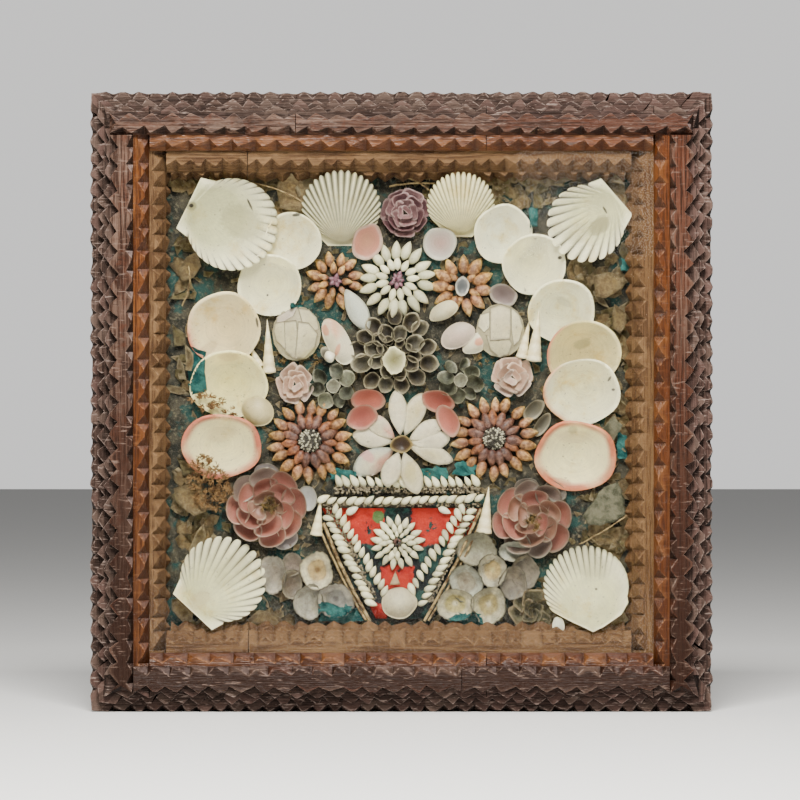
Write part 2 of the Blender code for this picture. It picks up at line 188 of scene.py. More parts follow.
def effect(name, inputs, outputs):
    """A shader node group: its tree, a wire from each input and its output sockets."""
    group = bpy.data.node_groups.new(name, "ShaderNodeTree")
    for way, sockets in (("INPUT", inputs), ("OUTPUT", outputs)):
        for key, kind in sockets.items():
            group.interface.new_socket(key, in_out=way, socket_type="NodeSocket" + kind)
    start, end = group.nodes.new("NodeGroupInput"), group.nodes.new("NodeGroupOutput")
    return group, {key: Wire(group, start.outputs[key]) for key in inputs}, end.inputs


def use(group, tree, **inputs):
    """One use of a shader node group: a wire from each of its outputs."""
    node = tree.nodes.new("ShaderNodeGroup")
    node.node_tree = group
    for key, value in inputs.items():
        feed(value, node.inputs[key])
    return {socket.name: Wire(tree, socket) for socket in node.outputs}


def finish_with(name, roughness, specular):
    """A material: itself, its shader's inputs and a wire from the place on the object."""
    material = bpy.data.materials.new(name)
    material.use_nodes = True
    shader = material.node_tree.nodes["Principled BSDF"].inputs
    shader["Roughness"].default_value = roughness
    shader["Specular IOR Level"].default_value = specular
    return material, shader, plug(material.node_tree, "ShaderNodeTexCoord", out="Object")


def end_finish(shader, colour, height, distance, strength=1.0, roughness=None):
    feed(colour, shader["Base Color"])
    if roughness:
        feed(roughness, shader["Roughness"])
    feed(plug(height.tree, "ShaderNodeBump", {"Height": height, "Distance": distance, "Strength": strength},
              "Normal"), shader["Normal"])


def dress(node_name, material):
    """Give a CAD node that is seen as it is its material."""
    nodes[node_name].data.materials.clear()
    nodes[node_name].data.materials.append(material)


# The vector's X runs along the board
grain_group, grain_in, grain_out = effect("wood_grain", {"Along": "Vector"}, {
    "Streaks": "Float", "Fibres": "Float", "Patches": "Float"})
feed(noise(mapped(grain_in["Along"], scale=(0.055, 1.0, 1.0)), 620.0, 3.0, 0.6), grain_out["Streaks"])
feed(noise(mapped(grain_in["Along"], scale=(0.03, 1.0, 1.0)), 1500.0, 2.0, 0.5), grain_out["Fibres"])
feed(noise(grain_in["Along"], 28.0, 4.0, 0.6), grain_out["Patches"])


def sawn_wood(name, turn):
    """Old crate softwood; turn rotates the grain so that it runs along the board."""
    material, shader, place = finish_with(name, 0.78, 0.25)
    along = mapped(place, turn)
    grain = use(grain_group, place.tree, Along=along)
    saw_marks = plug(place.tree, "ShaderNodeTexWave", {
        "Vector": along, "Scale": 70.0, "Distortion": 5.0, "Detail": 2.0}, "Fac", bands_direction="X")
    colour = layered(
        blend(spread(grain["Patches"], 0.3, 0.7), (0.150, 0.082, 0.042), (0.290, 0.180, 0.095)),
        (spread(grain["Streaks"], 0.42, 0.62, 0.0, 0.75), (0.105, 0.055, 0.030)),
        (spread(saw_marks, 0.2, 1.0, 0.0, 0.09), (0.42, 0.30, 0.18)),
        (spread(noise(place, 9.0, 5.0, 0.65), 0.52, 0.70, 0.0, 0.6), (0.060, 0.040, 0.028)))
    end_finish(shader, colour, grain["Fibres"] * 0.6 + saw_marks * 0.25, 0.0005, 0.7,
               spread(grain["Fibres"], 0.3, 0.7, 0.68, 0.92))
    return material


for way, turn, boards in (("x", 0.0, ("backboard", "case_wall_top", "case_wall_bottom")),
                          ("z", math.pi / 2, ("case_wall_left", "case_wall_right"))):
    crate_wood = sawn_wood(f"crate_wood_along_{way}", (0.0, turn, 0.0))
    for board in boards:
        dress(board, crate_wood)


# ---------------------------------------------------------------------------------------------------
# Nail heads: small round iron nails that hold the back to the crate. Each is driven a little
# unevenly, and has rusted.
def new_piece(name, mesh, *materials):
    piece = bpy.data.objects.new(name, mesh)
    for material in materials:
        mesh.materials.append(material)
    collection.objects.link(piece)
    return piece


def keep(piece, slot, *cad_names):
    """Every piece is fixed to the one rigid body; most stand for nodes of the CAD model."""
    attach(piece, "root")
    if cad_names:
        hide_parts(*cad_names)
    return piece


def geometry_tree(name, floats, **kinds):
    """A Geometry Nodes tree and its inputs as wires; every tree has a Seed and a Material."""
    tree = bpy.data.node_groups.new(name, "GeometryNodeTree")
    tree.is_modifier = True
    inputs = {"Geometry": "Geometry", "Seed": "Int", "Material": "Material", **dict.fromkeys(floats, "Float")}
    inputs.update((key, kind) for kind, keys in kinds.items() for key in keys)
    for key, kind in inputs.items():
        tree.interface.new_socket(key, in_out="INPUT", socket_type="NodeSocket" + kind)
    tree.interface.new_socket("Geometry", in_out="OUTPUT", socket_type="NodeSocketGeometry")
    start = tree.nodes.new("NodeGroupInput").outputs
    return tree, {key: Wire(tree, start[key]) for key in inputs}


def end_tree(geometry, material):
    """Every tree ends the same way: instances made real, then the material."""
    tree = geometry.tree
    real = plug(tree, "GeometryNodeRealizeInstances", {"Geometry": geometry})
    coated = plug(tree, "GeometryNodeSetMaterial", {"Geometry": real, "Material": material})
    feed(coated, tree.nodes.new("NodeGroupOutput").inputs["Geometry"])
    return tree


def grow(tree, values, start=None):
    """Run a tree on a new piece with the given inputs and keep the plain result."""
    piece = new_piece("grown", start or bpy.data.meshes.new("grown"))
    modifier = piece.modifiers.new(tree.name, "NODES")
    modifier.node_group = tree
    for item in tree.interface.items_tree:
        if item.in_out == "INPUT" and item.name in values:
            modifier[item.identifier] = values[item.name]
    mesh = bpy.data.meshes.new_from_object(piece.evaluated_get(bpy.context.evaluated_depsgraph_get()))
    piece.modifiers.clear()
    piece.data = mesh
    return piece


def chance(lowest, highest, identity, seed):
    """A random float that stays the same for the same identity and seed."""
    return plug(identity.tree, "FunctionNodeRandomValue", {2: lowest, 3: highest, 7: identity, 8: seed}, 1,
                data_type="FLOAT")


def patchy(name, roughness, specular, dark, light, patches, fine, relief, low=0.36, high=0.64):
    """A dull finish: two colours in uneven patches and a fine bump, each after a noise."""
    material, shader, place = finish_with(name, roughness, specular)
    end_finish(shader, blend(spread(noise(place, *patches), low, high), dark, light), noise(place, *fine),
        relief)
    return material


def vector(tree, *axes):
    return plug(tree, "ShaderNodeCombineXYZ", enumerate(axes))


def nail_row():
    tree, given = geometry_tree("nail_row", ("Width", "Height", "Head Radius", "Stand"), Int=("Count",))
    path = plug(tree, "GeometryNodeCurvePrimitiveQuadrilateral",
        {"Width": given["Width"], "Height": given["Height"]})
    path = plug(tree, "GeometryNodeResampleCurve", {"Curve": path, "Count": given["Count"]})
    head = plug(tree, "GeometryNodeMeshCylinder", {
        "Vertices": 12, "Radius": given["Head Radius"], "Depth": given["Stand"]})
    number = plug(tree, "GeometryNodeInputIndex")
    shift = vector(tree,
        *(chance(-0.003, 0.003, number, seed) for seed in (given["Seed"], given["Seed"] + 1.0)))
    path = plug(tree, "GeometryNodeSetPosition", {"Geometry": path, "Offset": shift})
    lean = vector(tree, *(chance(-0.12, 0.12, number, seed) for seed in (8, 9)))
    return end_tree(plug(tree, "GeometryNodeInstanceOnPoints", {
        "Points": path, "Instance": head, "Rotation": lean}), given["Material"])


rust = patchy("rusty_nail", 0.7, 0.5, (0.045, 0.022, 0.014), (0.180, 0.075, 0.030), patches=(900.0,),
    fine=(2200.0,), relief=0.0003, low=0.35, high=0.65)
back_low, back_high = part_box("backboard")
back_nails = grow(nail_row(), {"Width": 0.440, "Height": 0.438, "Count": 28, "Head Radius": 0.0021,
                               "Stand": 0.0008, "Seed": 3, "Material": rust})
back_nails.name = "back_nails"
back_nails.data.transform(Matrix.Translation((0.0, back_high.y + 0.0002, (back_low.z + back_high.z) / 2))
                          @ Matrix.Rotation(-math.pi / 2, 4, "X"))
keep(back_nails, "crate_wood")


# ---------------------------------------------------------------------------------------------------
# Outer tiers: thin cigar-box boards stacked like steps, each edge notched by hand with a knife into a
# row of little pyramids. The stain has weathered to a dusty mauve brown, paler on the sharp edges.
def axes_of(wire):
    node = plug(wire.tree, "ShaderNodeSeparateXYZ", {0: wire}).socket.node
    return [Wire(wire.tree, socket) for socket in node.outputs]


def vector_maths(operation, first, second, out=0):
    return plug(first.tree, "ShaderNodeVectorMath", {0: first, 1: second}, out, operation=operation)


def attribute(tree, name, out="Fac"):
    return plug(tree, "ShaderNodeAttribute", out=out, attribute_name=name)


def stored(geometry, name, value, domain="POINT", kind="FLOAT"):
    return plug(geometry.tree, "GeometryNodeStoreNamedAttribute", {
        "Geometry": geometry, "Name": name, "Value": value}, data_type=kind, domain=domain)


def notched_board():
    """The tree of a notched strip, along X from 0, its notched edge at Y 0 and its front toward +Z.

    A section with u from the edge inward and v from back to front is swept over four stations a notch:
    two at the tips beside it and two close together in its valley.
    """
    tree, given = geometry_tree("notched_board",
        ("Length", "Width", "Thickness", "Depth", "Front Inset", "Back Inset", "Through", "Skew",
            "Start Mitre", "End Mitre", "Start Cut", "End Cut", "Blunt", "Chip", "Unevenness"),
        Int=("Notches",))
    (seed, material, length, width, thickness, depth, front_inset, back_inset, through, skew, start_mitre,
     end_mitre, start_cut, end_cut, most_blunt, most_chip, uneven, notches) = list(given.values())[1:]
    valley_width, least_blunt, corner_chip, corner_fill = 0.00024, 0.00025, 0.0010, 0.82

    def chances(lowest, highest, identity, step):
        return chance(lowest, highest, identity, seed + step)

    def pick(share, first, second):
        return plug(tree, "ShaderNodeMix", {0: share, 2: first, 3: second}, data_type="FLOAT")

    def captured(curve, kind, source):
        node = plug(tree, "GeometryNodeCaptureAttribute", {"Geometry": curve}, domain="POINT").socket.node
        node.capture_items.new(kind, "captured")
        feed(plug(tree, source), node.inputs[1])
        return Wire(tree, node.outputs[0]), Wire(tree, node.outputs[1])

    rail = plug(tree, "GeometryNodeCurvePrimitiveLine", {"End": (1.0, 0.0, 0.0)})
    rail = plug(tree, "GeometryNodeResampleCurve", {"Curve": rail, "Count": notches * 4.0})
    rail, station = captured(rail, "FLOAT", "GeometryNodeInputIndex")
    section = plug(tree, "GeometryNodeCurvePrimitiveQuadrilateral", {"Width": 1.0, "Height": 1.0})
    section = plug(tree, "GeometryNodeResampleCurve", {"Curve": section, "Count": 12})
    section, section_place = captured(section, "VECTOR", "GeometryNodeInputPosition")
    board = plug(tree, "GeometryNodeCurveToMesh",
        {"Curve": rail, "Profile Curve": section, "Fill Caps": True})
    u, v = (axis + 0.5 for axis in axes_of(section_place)[:2])
    at_edge = u < 0.01
    v = pick(at_edge, v, maths("ROUND", v))

    notch = maths("FLOOR", (station + 0.01) / 4.0)
    quarter = station - notch * 4.0
    is_tip = maths("ABSOLUTE", quarter - 1.5) > 1.0
    is_left = quarter < 1.5
    side_sign = is_left * 2.0 - 1.0
    tip = notch + 1.0 - is_left + 0.25
    last_tip = notches - 0.4
    inner_tip = (tip > 0.6) * (tip < last_tip)
    pitch = length / notches
    blunt = (chances(0.0, 1.0, tip, 1.0) ** 3.0 * most_blunt + least_blunt) * inner_tip
    wander = chances(-1.0, 1.0, tip, 5.0) * inner_tip * (pitch * (uneven * 0.6))
    tip_at = (tip - 0.25) * pitch + wander + side_sign * blunt
    shift = pitch * (skew + chances(-1.0, 1.0, notch, 2.0) * uneven)
    valley_at = (notch + 0.5) * pitch + shift - side_sign * (valley_width / 2)
    at = pick(is_tip, valley_at, tip_at)

    start_corner = is_tip * start_mitre * (tip < 0.6)
    end_corner = is_tip * end_mitre * (tip > last_tip)
    chip = chances(0.0, 1.0, tip, 3.0) ** 4.0 * most_chip + (start_corner + end_corner) * corner_chip
    at_corner = start_mitre * (notch < 0.5) + end_mitre * (notch > notches - 1.5)
    cut = depth * chances(0.78, 1.12, notch, 4.0) * (1.0 - at_corner * corner_fill)
    cut_here = pick(is_tip, cut, chip)
    inset = pick(v, cut_here * through + back_inset, cut_here + front_inset)
    inward = u ** 2.0 * (width - inset)
    across = inset + inward
    along = start_mitre * inward + at / length * (length - inward * (start_mitre + end_mitre))
    along = along + inset * (start_corner - end_corner)
    end_reach = v * (across / width)
    along = along + (station < 0.5) * end_reach * start_cut
    along = along - (station > notches * 4.0 - 1.5) * end_reach * end_cut
    placed = vector(tree, along, across, v * thickness)
    board = plug(tree, "GeometryNodeSetPosition", {"Geometry": board, "Position": placed})
    own_place = vector(tree, *(seed * share for share in (0.0371, 0.0617, 0.0233)))
    board = stored(board, "grain_place", vector_maths("ADD", placed, own_place), kind="FLOAT_VECTOR")
    # Stored for the wood's colour: worn edges, the notch valleys that get painted shade, distance from the
    # edge, each tooth's own tone.
    for name, value in (("edge_wear", at_edge * (v > 0.99)), ("notch_hollow", at_edge * (1.0 - is_tip)),
                        ("from_edge", across), ("tooth_shade", chances(-1.0, 1.0, tip, 9.0) * (u < 0.5)),
                        ("tooth_hue", chances(0.0, 1.0, tip, 10.0) * (u < 0.5))):
        board = stored(board, name, value)
    board = plug(tree, "GeometryNodeMergeByDistance", {"Geometry": board, "Distance": 0.000004})
    board = plug(tree, "GeometryNodeTriangulate", {"Mesh": board}, quad_method="SHORTEST_DIAGONAL")
    return end_tree(plug(tree, "GeometryNodeSetShadeSmooth", {"Geometry": board, "Shade Smooth": False}),
        material)


strip_tree = notched_board()


def cut_strip(run, edge, low_end, high_end, into, back, values, low_finish=(0.0, 0.0),
        high_finish=(0.0, 0.0)):
    """One notched strip that runs along x or z, its notched edge at the given coordinate.

    into is +1 or -1: the way the board lies from its notched edge. back is the y of its back face. Each
    end's finish is its mitre and the depth of a notch cut into the end.
    """
    inward_way = Vector((0.0, 0.0, into)) if run == "x" else Vector((into, 0.0, 0.0))
    front_way = Vector((0.0, -1.0, 0.0))
    along_way = inward_way.cross(front_way)
    forward = (along_way.x if run == "x" else along_way.z) > 0
    start = low_end if forward else high_end
    first, last = (low_finish, high_finish) if forward else (high_finish, low_finish)
    corner = (start, back, edge) if run == "x" else (edge, back, start)
    length = high_end - low_end
    strip = grow(strip_tree, {
        "Thickness": TIER_THICKNESS, "Back Inset": 0.0, **values, "Length": length,
        "Notches": max(1, round(length / values["pitch"])), "Start Mitre": first[0], "End Mitre": last[0],
        "Start Cut": first[1], "End Cut": last[1],
        "Skew": values.get("Skew", 0.0) * (1 if forward else -1) * (run == "x")})
    turn = Matrix((along_way, inward_way, front_way)).transposed().to_4x4()
    strip.data.transform(Matrix.Translation(corner) @ turn)
    return strip


def finished(name, mesh):
    """The plain mesh that an edited one leaves."""
    data = bpy.data.meshes.new(name)
    mesh.to_mesh(data)
    mesh.free()
    return data


def join_pieces(name, pieces):
    """Join plain pieces into one object whose place is in its mesh."""
    whole = bmesh.new()
    materials = list(dict.fromkeys(material for piece in pieces for material in piece.data.materials))
    for piece in pieces:
        part = piece.data
        order = [materials.index(material) for material in part.materials]
        start = len(whole.faces)
        whole.from_mesh(part)
        whole.faces.ensure_lookup_table()
        for face in whole.faces[start:]:
            face.material_index = order[face.material_index] if order else 0
    mesh = finished(name, whole)
    for piece in pieces:
        old = piece.data
        bpy.data.objects.remove(piece)
        bpy.data.meshes.remove(old)
    return new_piece(name, mesh, *materials)


scratch_group, scratch_in, scratch_out = effect("knife_scratches", {"Place": "Vector"}, {
    "Pale": "Float", "Dark": "Float"})
for socket, turn, size in (("Pale", 0.7, 520.0), ("Dark", -0.5, 460.0)):
    lines = [noise(mapped(scratch_in["Place"], (0.0, turn + way, 0.0), (0.16, 0.16, 1.0)), size, 3.0, 0.6)
             for way in (0.0, 1.3)]
    patches = spread(noise(scratch_in["Place"], 70.0, 3.0, 0.6), 0.38, 0.60, 0.15, 1.0)
    feed(spread(maths("MAXIMUM", *lines), 0.60, 0.70) * patches, scratch_out[socket])

# Painted shade on the notches' cut faces: Dark covers those that turn right and down, and those that face
# steeply down.
facet_group, facet_in, facet_out = effect("notch_facets", {"Place": "Vector"},
    {"Dark": "Float", "Dusty": "Float"})
facing = axes_of(plug(facet_group, "ShaderNodeNewGeometry", out="True Normal"))
cut_face = spread(facing[1], -0.93, -0.80)
right_and_down = spread(facing[0] - facing[2] * 0.5, 0.46, 0.62)
steep_down = spread(facing[2], -0.22, -0.34) * spread(facing[2], -0.62, -0.52)
feed(cut_face * maths("MAXIMUM", right_and_down, steep_down * 0.8), facet_out["Dark"])
# Dust with painted highlight on the cut faces that turn up, most of all those turned up and to the right.
upward = facing[0] * 0.38 + facing[2]
patches = spread(noise(facet_in["Place"], 210.0, 4.0, 0.65), 0.40, 0.56, 0.08, 1.0)
feed(cut_face * spread(upward, 0.18, 0.70) * patches, facet_out["Dusty"])


def darker(tone, share):
    return tuple(share * value for value in tone)


def notched_wood(name, shade, mid, light, red_shift, gloss, edge_light, dust_colour, streaks, dust, teeth,
        hollow_dark=0.45, cut_dark=0.85, cut_tone=0.3, scratches=0.5, low_dark=0.0, contact=0.0,
        high_dark=0.0, sheen=0.12):
    """Stained, notched wood: streaked along the grain, worn at the edges, dusty with painted highlight above,
    and with painted shade in the cuts.
    """
    material, shader, place = finish_with(name, gloss, sheen)
    tree = place.tree
    along_strip = attribute(tree, "grain_place", "Vector")
    grain = use(grain_group, tree, Along=along_strip)
    worn, deep, tooth_shade, tooth_hue, from_edge = (attribute(tree, name) for name in (
        "edge_wear", "notch_hollow", "tooth_shade", "tooth_hue", "from_edge"))
    side = axes_of(place)
    redness = spread(side[0] * 1.4 - side[2] + (noise(place, 6.0) - 0.5) * 2.0, -0.55, 0.05)
    pale = (1.15 - redness) * streaks
    lines = noise(mapped(along_strip, scale=(0.03, 1.0, 1.0)), 480.0, 3.0, 0.6)
    facets = use(facet_group, tree, Place=place)
    scratched = use(scratch_group, tree, Place=place)
    # Dust and painted highlight on upward cut faces, less of it towards the bottom.
    dust_and_highlight_mask = facets["Dusty"] * dust * spread(side[2], 0.03, 0.40, 1.0 - 0.7 * low_dark, 1.0)
    colour = layered(
        blend(spread(grain["Patches"], 0.32, 0.68), shade, mid),
        (redness, red_shift),
        (spread(grain["Streaks"], 0.47, 0.38) * pale, light),
        (spread(noise(place, 26.0, 4.0, 0.6), 0.40, 0.62) * (pale * 0.8), light),
        (spread(grain["Streaks"], 0.50, 0.60, 0.0, 0.85), shade),
        (spread(lines, 0.52, 0.64, 0.0, 0.85), shade),
        (spread(lines, 0.45, 0.34, 0.0, 0.35), light),
        (spread(noise(place, 110.0, 3.0, 0.6), 0.54, 0.70, 0.0, 0.55), red_shift),
        # Painted shade: the wood darkens towards the bottom of the box.
        (spread(side[2], 0.40, 0.03) * low_dark, darker(shade, 0.8)),
        # Painted shade: darker along the top of the box, more so towards the right.
        (spread(side[2], 0.405, 0.425) * spread(side[0], -0.10, 0.10, 0.4 * high_dark, high_dark), shade),
        (spread(tooth_shade, 0.15, 1.0) * teeth, light),
        (spread(tooth_shade, -0.15, -1.0) * teeth, shade),
        (spread(tooth_hue, 0.6, 1.0) * teeth, red_shift),
        # Painted shade: darker away from the notched edge, where the next tier stands over the board.
        (spread(from_edge, 0.0028, 0.0062) * contact, darker(shade, 0.35)),
        # Painted shade along the notch valleys.
        (spread(deep, 0.55, 1.0) * hollow_dark, darker(shade, 0.30)),
        # Dust with painted highlight.
        (dust_and_highlight_mask, dust_colour),
        (scratched["Dark"] * scratches, shade),
        (scratched["Pale"] * scratches, edge_light),
        (spread(worn, 0.72, 1.0) * spread(noise(place, 420.0, 3.0, 0.6), 0.42, 0.62) * 0.60, edge_light),
        # Painted shade on the cut faces that turn right and down.
        (facets["Dark"] * cut_dark, darker(shade, cut_tone)))
    height = (grain["Fibres"] * 0.7 + grain["Streaks"] * 0.6 + noise(place, 240.0, 2.0) * 0.5
              + scratched["Dark"] * (-0.5 * scratches) + lines * 0.4)
    end_finish(shader, colour, height, 0.0010, 1.0, spread(dust_and_highlight_mask, 0.0, 1.0, gloss, min(1.0, gloss + 0.35)))
    return material


HALF_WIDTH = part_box("base_tier_top")[1].x
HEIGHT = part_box("base_tier_top")[1].z
TIER_THICKNESS = 0.0055
SIDES = ("top", "bottom", "left", "right")
outer_wood = notched_wood(
    "outer_wood", (0.017, 0.0085, 0.0058), (0.060, 0.033, 0.024), (0.106, 0.070, 0.054),
    (0.098, 0.054, 0.044), 0.60, (0.270, 0.200, 0.170), (0.100, 0.068, 0.060), streaks=0.45, dust=0.35,
    hollow_dark=0.45, scratches=0.65, low_dark=0.50, contact=0.30, teeth=0.55, high_dark=0.45)
mitred = (1.0, 0.0)
for tier, offset, inset, pitch, through, seed in (("base_tier", 0.0, 0.0012, 0.0120, 0.10, 101),
                                                  ("second_tier", 0.0058, 0.0, 0.0123, 0.8, 211)):
    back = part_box(f"{tier}_top")[1].y
    top, side = HEIGHT - offset, HALF_WIDTH - offset
    strips = [cut_strip(run, edge, low_end, high_end, into, back, {
        "Width": 0.0395 - offset, "Front Inset": 0.0, "Material": outer_wood, "pitch": pitch, "Depth": 0.0052,
        "Back Inset": inset, "Blunt": 0.0022, "Chip": 0.0016, "Unevenness": 0.13, "Through": through,
        "Seed": seed + 20 * number}, mitred, mitred)
        for number, (run, edge, low_end, high_end, into) in enumerate((
            ("x", top, -side, side, -1), ("x", offset, -side, side, 1),
            ("z", -side, offset, top, 1), ("z", side, offset, top, -1)))]
    keep(join_pieces(f"{tier}_rails", strips), "weathered_wood", *(f"{tier}_{name}" for name in SIDES))


# ---------------------------------------------------------------------------------------------------
# Front ridge: the narrow top tier, notched on both edges. Its top rail runs right across in two
# lengths, the side rails butt up under it, and the bottom rail lies between them.
def add_strip(strips, first_seed, run, edge, low_end, high_end, into, values, *finishes):
    """Cut one more strip of a tier, each with its own seed."""
    strips.append(cut_strip(run, edge, low_end, high_end, into, tier_back, {
        **values, "Seed": first_seed + 7 * len(strips)}, *finishes))


weathered = notched_wood(
    "weathered_wood", (0.018, 0.0068, 0.0036), (0.078, 0.032, 0.019), (0.140, 0.088, 0.064),
    (0.072, 0.022, 0.010), 0.42, (0.240, 0.165, 0.130), (0.210, 0.155, 0.145), streaks=0.55, dust=0.62,
    low_dark=0.92, teeth=0.35, high_dark=0.30)
tier_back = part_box("ridge_tier_top")[1].y
RIDGE_OUT, RIDGE_IN, RIDGE_TOP, RIDGE_FOOT = 0.0152, 0.0325, 0.0168, 0.0343
JOINT, BUTT_GAP = 0.0006, 0.0004
TOP_JOINT, FOOT_JOINT = -0.0782, 0.0440
ridge_half = (RIDGE_IN - RIDGE_OUT) / 2
ridge_values = {"Width": ridge_half, "Depth": 0.0050, "Blunt": 0.0018, "Chip": 0.0016, "Unevenness": 0.12,
                "Material": weathered}
outer_values = {**ridge_values, "pitch": 0.0157, "Front Inset": 0.0, "Through": 0.8}
inner_values = {**ridge_values, "pitch": 0.0152, "Front Inset": 0.0014, "Skew": 0.14}
top_width = {"Width": (RIDGE_IN - RIDGE_TOP) / 2}
foot_values = {"Depth": 0.0066, "Front Inset": 0.0004, "Width": ridge_half + RIDGE_FOOT - RIDGE_IN}
x_out, x_in = HALF_WIDTH - RIDGE_OUT, HALF_WIDTH - RIDGE_IN
z_out, z_in = HEIGHT - RIDGE_TOP, HEIGHT - RIDGE_IN
plain_end, notched_end = (0.0, 0.0), (0.0, 0.0050)
strips = []
for low_end, high_end, *finishes in ((-x_out, TOP_JOINT, notched_end, plain_end),
                                     (TOP_JOINT + JOINT, x_out, plain_end, notched_end)):
    add_strip(strips, 301, "x", z_out, low_end, high_end, -1, {**outer_values, **top_width}, *finishes)
    add_strip(strips, 301, "x", z_in, low_end, high_end, 1, {**inner_values, **top_width}, *finishes)
for low_end, high_end in ((-x_in + BUTT_GAP, FOOT_JOINT), (FOOT_JOINT + JOINT, x_in - BUTT_GAP)):
    add_strip(strips, 341, "x", RIDGE_OUT, low_end, high_end, 1, outer_values)
    add_strip(strips, 341, "x", RIDGE_FOOT, low_end, high_end, -1, {**inner_values, **foot_values})
for sign in (-1, 1):
    for edge, into, values in ((x_out, -1, {**outer_values, "Depth": 0.0068}),
                               (x_in, 1, {**inner_values, "Depth": 0.0046, "Front Inset": 0.0005})):
        add_strip(strips, 391, "z", sign * edge, RIDGE_OUT, z_in - BUTT_GAP, sign * into, values, notched_end,
                  plain_end)
keep(join_pieces("ridge_tier_rails", strips), "weathered_wood", *(f"ridge_tier_{name}" for name in SIDES))


# ---------------------------------------------------------------------------------------------------
# Ledge: the second tier from the front, of redder wood under a glossy amber varnish. Its side rails
# run the full height, the top and bottom ones lie between them, and the notched inner edge holds the
# glass in.
amber = notched_wood(
    "amber_wood", (0.032, 0.0085, 0.0020), (0.130, 0.041, 0.0088), (0.168, 0.066, 0.019),
    (0.085, 0.023, 0.0048), 0.30, (0.260, 0.115, 0.048), (0.105, 0.054, 0.043), streaks=0.35, dust=0.55,
    cut_dark=0.80, cut_tone=0.7, scratches=0.20, low_dark=0.50, teeth=0.4, sheen=0.22)
tier_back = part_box("ledge_tier_top")[1].y
LEDGE_OUT, LEDGE_IN, END_BLOCK, LEDGE_JOINT = 0.0108, 0.0440, 0.0170, 0.0622
ledge_values = {"Width": END_BLOCK, "Blunt": 0.0014, "Chip": 0.0014, "Unevenness": 0.10}
outer_values = {**ledge_values, "pitch": 0.0157, "Front Inset": 0.0, "Depth": 0.0052, "Material": outer_wood,
                "Through": 0.8}
inner_values = {**ledge_values, "pitch": 0.0161, "Front Inset": 0.0030, "Depth": 0.0056, "Material": amber,
                "Skew": 0.14}
x_out, x_in = HALF_WIDTH - LEDGE_OUT, HALF_WIDTH - LEDGE_IN
z_out, z_in = HEIGHT - LEDGE_OUT, HEIGHT - LEDGE_IN
strips = []
for low_end, high_end in ((-x_in + JOINT, LEDGE_JOINT), (LEDGE_JOINT + JOINT, x_in - JOINT)):
    for edge, into, values in ((z_out, -1, outer_values), (z_in, 1, inner_values),
                               (LEDGE_OUT, 1, outer_values), (LEDGE_IN, -1, inner_values)):
        add_strip(strips, 501, "x", edge, low_end, high_end, into, values)
for sign in (-1, 1):
    for edge, into, values in ((x_out, -1, outer_values), (x_in, 1, inner_values)):
        add_strip(strips, 601, "z", sign * edge, LEDGE_OUT + END_BLOCK, z_out - END_BLOCK, sign * into,
            values)
    block_ends = (plain_end, (0.0, 0.0045))[::sign]
    for edge, into in ((z_out, -1), (LEDGE_OUT, 1)):
        add_strip(strips, 661, "x", edge, *sorted((sign * x_in, sign * x_out)), into, outer_values,
            *block_ends)
keep(join_pieces("ledge_tier_rails", strips), "amber_wood", *(f"ledge_tier_{name}" for name in SIDES))


# ---------------------------------------------------------------------------------------------------
# Lining: two rows of bare, notched strips step down inside the case from the glass to the shells.
# They were never stained. Dust with painted highlight lies on their notches' upper faces, and painted shade
# in their valleys.
lining_wood = notched_wood(
    "bare_lining_wood", (0.046, 0.021, 0.0085), (0.134, 0.072, 0.030), (0.190, 0.112, 0.052),
    (0.100, 0.052, 0.020), 0.68, (0.240, 0.145, 0.075), (0.130, 0.070, 0.031), streaks=0.45, dust=0.30,
    hollow_dark=0.35, cut_dark=0.50, cut_tone=0.6, scratches=0.25, teeth=0.4)
for row, left, right, top, bottom, outer, slope, thick, through, seed in (
        ("upper_lining", 0.0560, 0.0600, 0.0596, 0.0600, 0.0398, 0.0050, 0.0090, 0.1, 0),
        ("lower_lining", 0.0590, 0.0645, 0.0660, 0.0665, 0.0113, 0.0045, 0.0080, 0.7, 50)):
    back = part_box(f"{row}_top")[1].y
    shared = {"Depth": 0.0052, "Front Inset": slope, "Thickness": thick, "Blunt": 0.0020, "Chip": 0.0018,
              "Unevenness": 0.13, "pitch": 0.0124, "Material": lining_wood, "Through": through}
    x_left, x_right = -HALF_WIDTH + left, HALF_WIDTH - right
    strips = []
    for edge, into, joint, width in ((HEIGHT - top, 1, -0.1137, top - outer),
            (bottom, -1, -0.113, bottom - outer)):
        for low_end, high_end in ((x_left + BUTT_GAP, joint - JOINT / 2),
                (joint + JOINT / 2, x_right - BUTT_GAP)):
            strips.append(cut_strip("x", edge, low_end, high_end, into, back, {
                **shared, "Width": width, "Seed": 701 + seed + 9 * len(strips)}))
    for edge, into, width in ((x_left, -1, left - outer), (x_right, 1, right - outer)):
        strips.append(cut_strip("z", edge, outer, HEIGHT - outer, into, back, {
            **shared, "Width": width, "Seed": 801 + seed + 9 * len(strips)}))
    keep(join_pieces(f"{row}_strips", strips), "raw_wood", *(f"{row}_{name}" for name in SIDES))


# ---------------------------------------------------------------------------------------------------
# Shell board: the thin board that carries the shells. It is covered with dark paper, painted with
# teal water paint that shows in patches between the shells and is dusty and worn elsewhere.
painted, shader, place = finish_with("painted_ground", 0.85, 0.25)
ground_colour = layered(
    blend(spread(noise(place, 60.0, 5.0, 0.65), 0.40, 0.66), (0.010, 0.011, 0.008), (0.050, 0.044, 0.028)),
    (spread(noise(place, 34.0, 4.0, 0.7), 0.50, 0.58, 0.0, 0.85), (0.007, 0.042, 0.037)),
    (spread(noise(place, 420.0, 4.0, 0.7), 0.52, 0.66, 0.0, 0.6), (0.150, 0.130, 0.080)))
end_finish(shader, ground_colour, noise(place, 500.0, 4.0, 0.7), 0.0012)
dress("shell_board", painted)


# ---------------------------------------------------------------------------------------------------
# Scallops: big ribbed shells. The four in the corners show their hollow side, with the hinge raised
# against the lining; the two at the top stand fanned out with their backs to the front.
MM = 0.001
BOARD_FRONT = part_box("shell_board")[0].y


